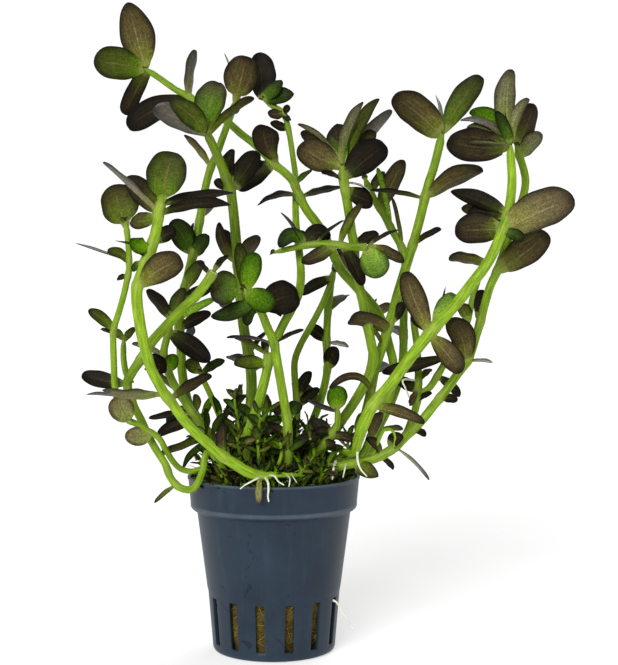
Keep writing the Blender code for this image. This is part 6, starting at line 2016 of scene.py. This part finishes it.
def set_studio():
    """The white room, its soft windows and the camera."""
    scene = bpy.context.scene
    scene.view_settings.view_transform = "Standard"
    scene.world = white_studio()
    for name, stands, strength, wide in WINDOWS:
        lamp = bpy.data.lights.new(name, "SUN")
        lamp.energy = strength
        lamp.angle = math.radians(wide)
        aimed(name, lamp, stands, PLANT_MIDDLE)
    lens = bpy.data.cameras.new("camera")
    lens.lens = LENS
    lens.sensor_width = SENSOR
    eye = Vector((EYE_ACROSS, -EYE_DISTANCE, EYE_UP)) * MM
    scene.camera = aimed("camera", lens, eye, Vector((EYE_ACROSS, 0.0, AIM_UP)) * MM)


EFFECTS = {
    "veins": blade_veins_effect(),
    "zones": blade_zones_effect(),
    "grain": living_grain_effect(),
    "shade": shaded_effect(),
}
FINISHES = {
    "leaf_brown": blade_finish("leaf_brown_underside", (100, 104, 34), (80, 70, 38), (58, 49, 29),
                               (140, 130, 88), (22, 18, 11), 0.4, 0.5),
    # The brown underside painted lighter, as a painted highlight on the front leaf
    "leaf_tan": blade_finish("leaf_tan_underside", (116, 114, 54), (98, 88, 58), (70, 60, 43),
                             (152, 144, 108), (24, 20, 13), 0.4, 0.5),
    "leaf_light": blade_finish("leaf_light_green", (128, 160, 52), (104, 138, 44), (80, 108, 34),
                               (140, 160, 84), (30, 48, 12), 0.5, 0.15),
    "leaf_dark": blade_finish("leaf_black_purple", (46, 54, 14), (31, 26, 15), (22, 18, 12),
                              (76, 68, 50), (9, 7, 5), 0.3, 0.24),
    "leaf_deep": blade_finish("leaf_dark_green_upper", (60, 88, 14), (38, 54, 10), (28, 36, 8),
                              (72, 92, 30), (12, 15, 5), 0.5, 0.3),
    "leaf_green": blade_finish("leaf_green_upper", (82, 108, 18), (64, 76, 19), (50, 53, 18),
                               (112, 122, 56), (22, 22, 9), 0.5, 0.25, midrib=(112, 88, 52),
                               midrib_strength=0.6),
    "leaf_bright": blade_finish("leaf_fresh_green", (98, 136, 18), (68, 104, 8), (52, 82, 7),
                                (96, 136, 14), (22, 42, 2), 0.5, 0.12, shine=0.03),
    "leaf_olive": blade_finish("leaf_olive_underside", (88, 106, 22), (72, 74, 26), (60, 52, 26),
                               (132, 124, 74), (24, 20, 11), 0.5),
    "leaf_pale": blade_finish("leaf_pale_olive", (138, 146, 76), (128, 126, 78), (108, 98, 62),
                              (106, 74, 56), (70, 62, 38), 0.5, 0.4),
    # A brown blade's face painted grey, as a painted sheen
    "leaf_grey": blade_finish("leaf_grey_sheen", (112, 110, 54), (90, 84, 68), (70, 65, 56),
                              (152, 148, 134), (28, 24, 19), 0.45, 0.35, roughness=0.36, shine=0.35),
    "leaf_dusk": blade_finish("leaf_dusk_underside", (78, 88, 22), (52, 43, 25), (38, 31, 20),
                              (112, 100, 68), (14, 12, 8), 0.36, 0.45),
    "leaf_sage": blade_finish("leaf_sage_underside", (112, 124, 54), (106, 106, 68), (92, 86, 64),
                              (168, 164, 128), (34, 32, 20), 0.5, 0.5),
    "leaf_turning": blade_finish("leaf_green_turning_grey", (76, 108, 14), (70, 80, 30), (68, 64, 44),
                                 (112, 114, 64), (24, 22, 13), 0.66, 0.3),
    "leaf_dusky": blade_finish("leaf_dusky_green_upper", (74, 98, 24), (50, 54, 23), (36, 33, 19),
                               (90, 92, 54), (15, 13, 8), 0.45, 0.25),
    "leaf_lime": blade_finish("leaf_lime_shoot", (140, 184, 50), (120, 162, 36), (98, 140, 28),
                              (160, 190, 90), (64, 92, 18), 0.5, 0.2),
    "stem_green": stem_finish("stem_green", (156, 192, 46), (98, 130, 17), (150, 158, 76)),
    "cut_pith": plain_growth_finish("cut_pith", (206, 222, 140), (176, 200, 96), 0.8),
    "hair_pale": plain_growth_finish("hair_pale", (196, 222, 120), (150, 190, 70), 4.0),
    "root_white": plain_growth_finish("root_white", (238, 240, 222), (212, 216, 180), 2.0, 0.4),
    "root_grey": plain_growth_finish("root_grey", (168, 176, 140), (104, 112, 78), 2.0, 0.5),
    "moss_green": plain_growth_finish("moss_green", (112, 142, 34), (58, 84, 16), 1.5),
    "moss_dark": plain_growth_finish("moss_dark", (46, 58, 18), (14, 18, 7), 1.6, 0.8),
    "moss_pale": plain_growth_finish("moss_pale", (140, 170, 66), (88, 118, 34), 1.5),
    "pot": pot_finish(),
    "wool": wool_finish("wool_body", (108, 92, 42), (46, 38, 17)),
    "wool_fibre": plain_growth_finish("wool_fibre", (168, 148, 80), (104, 88, 40), 1.5, 0.9),
}

make_pot()
make_wool()
make_bed()
grow_stems()
make_floor()
set_studio()
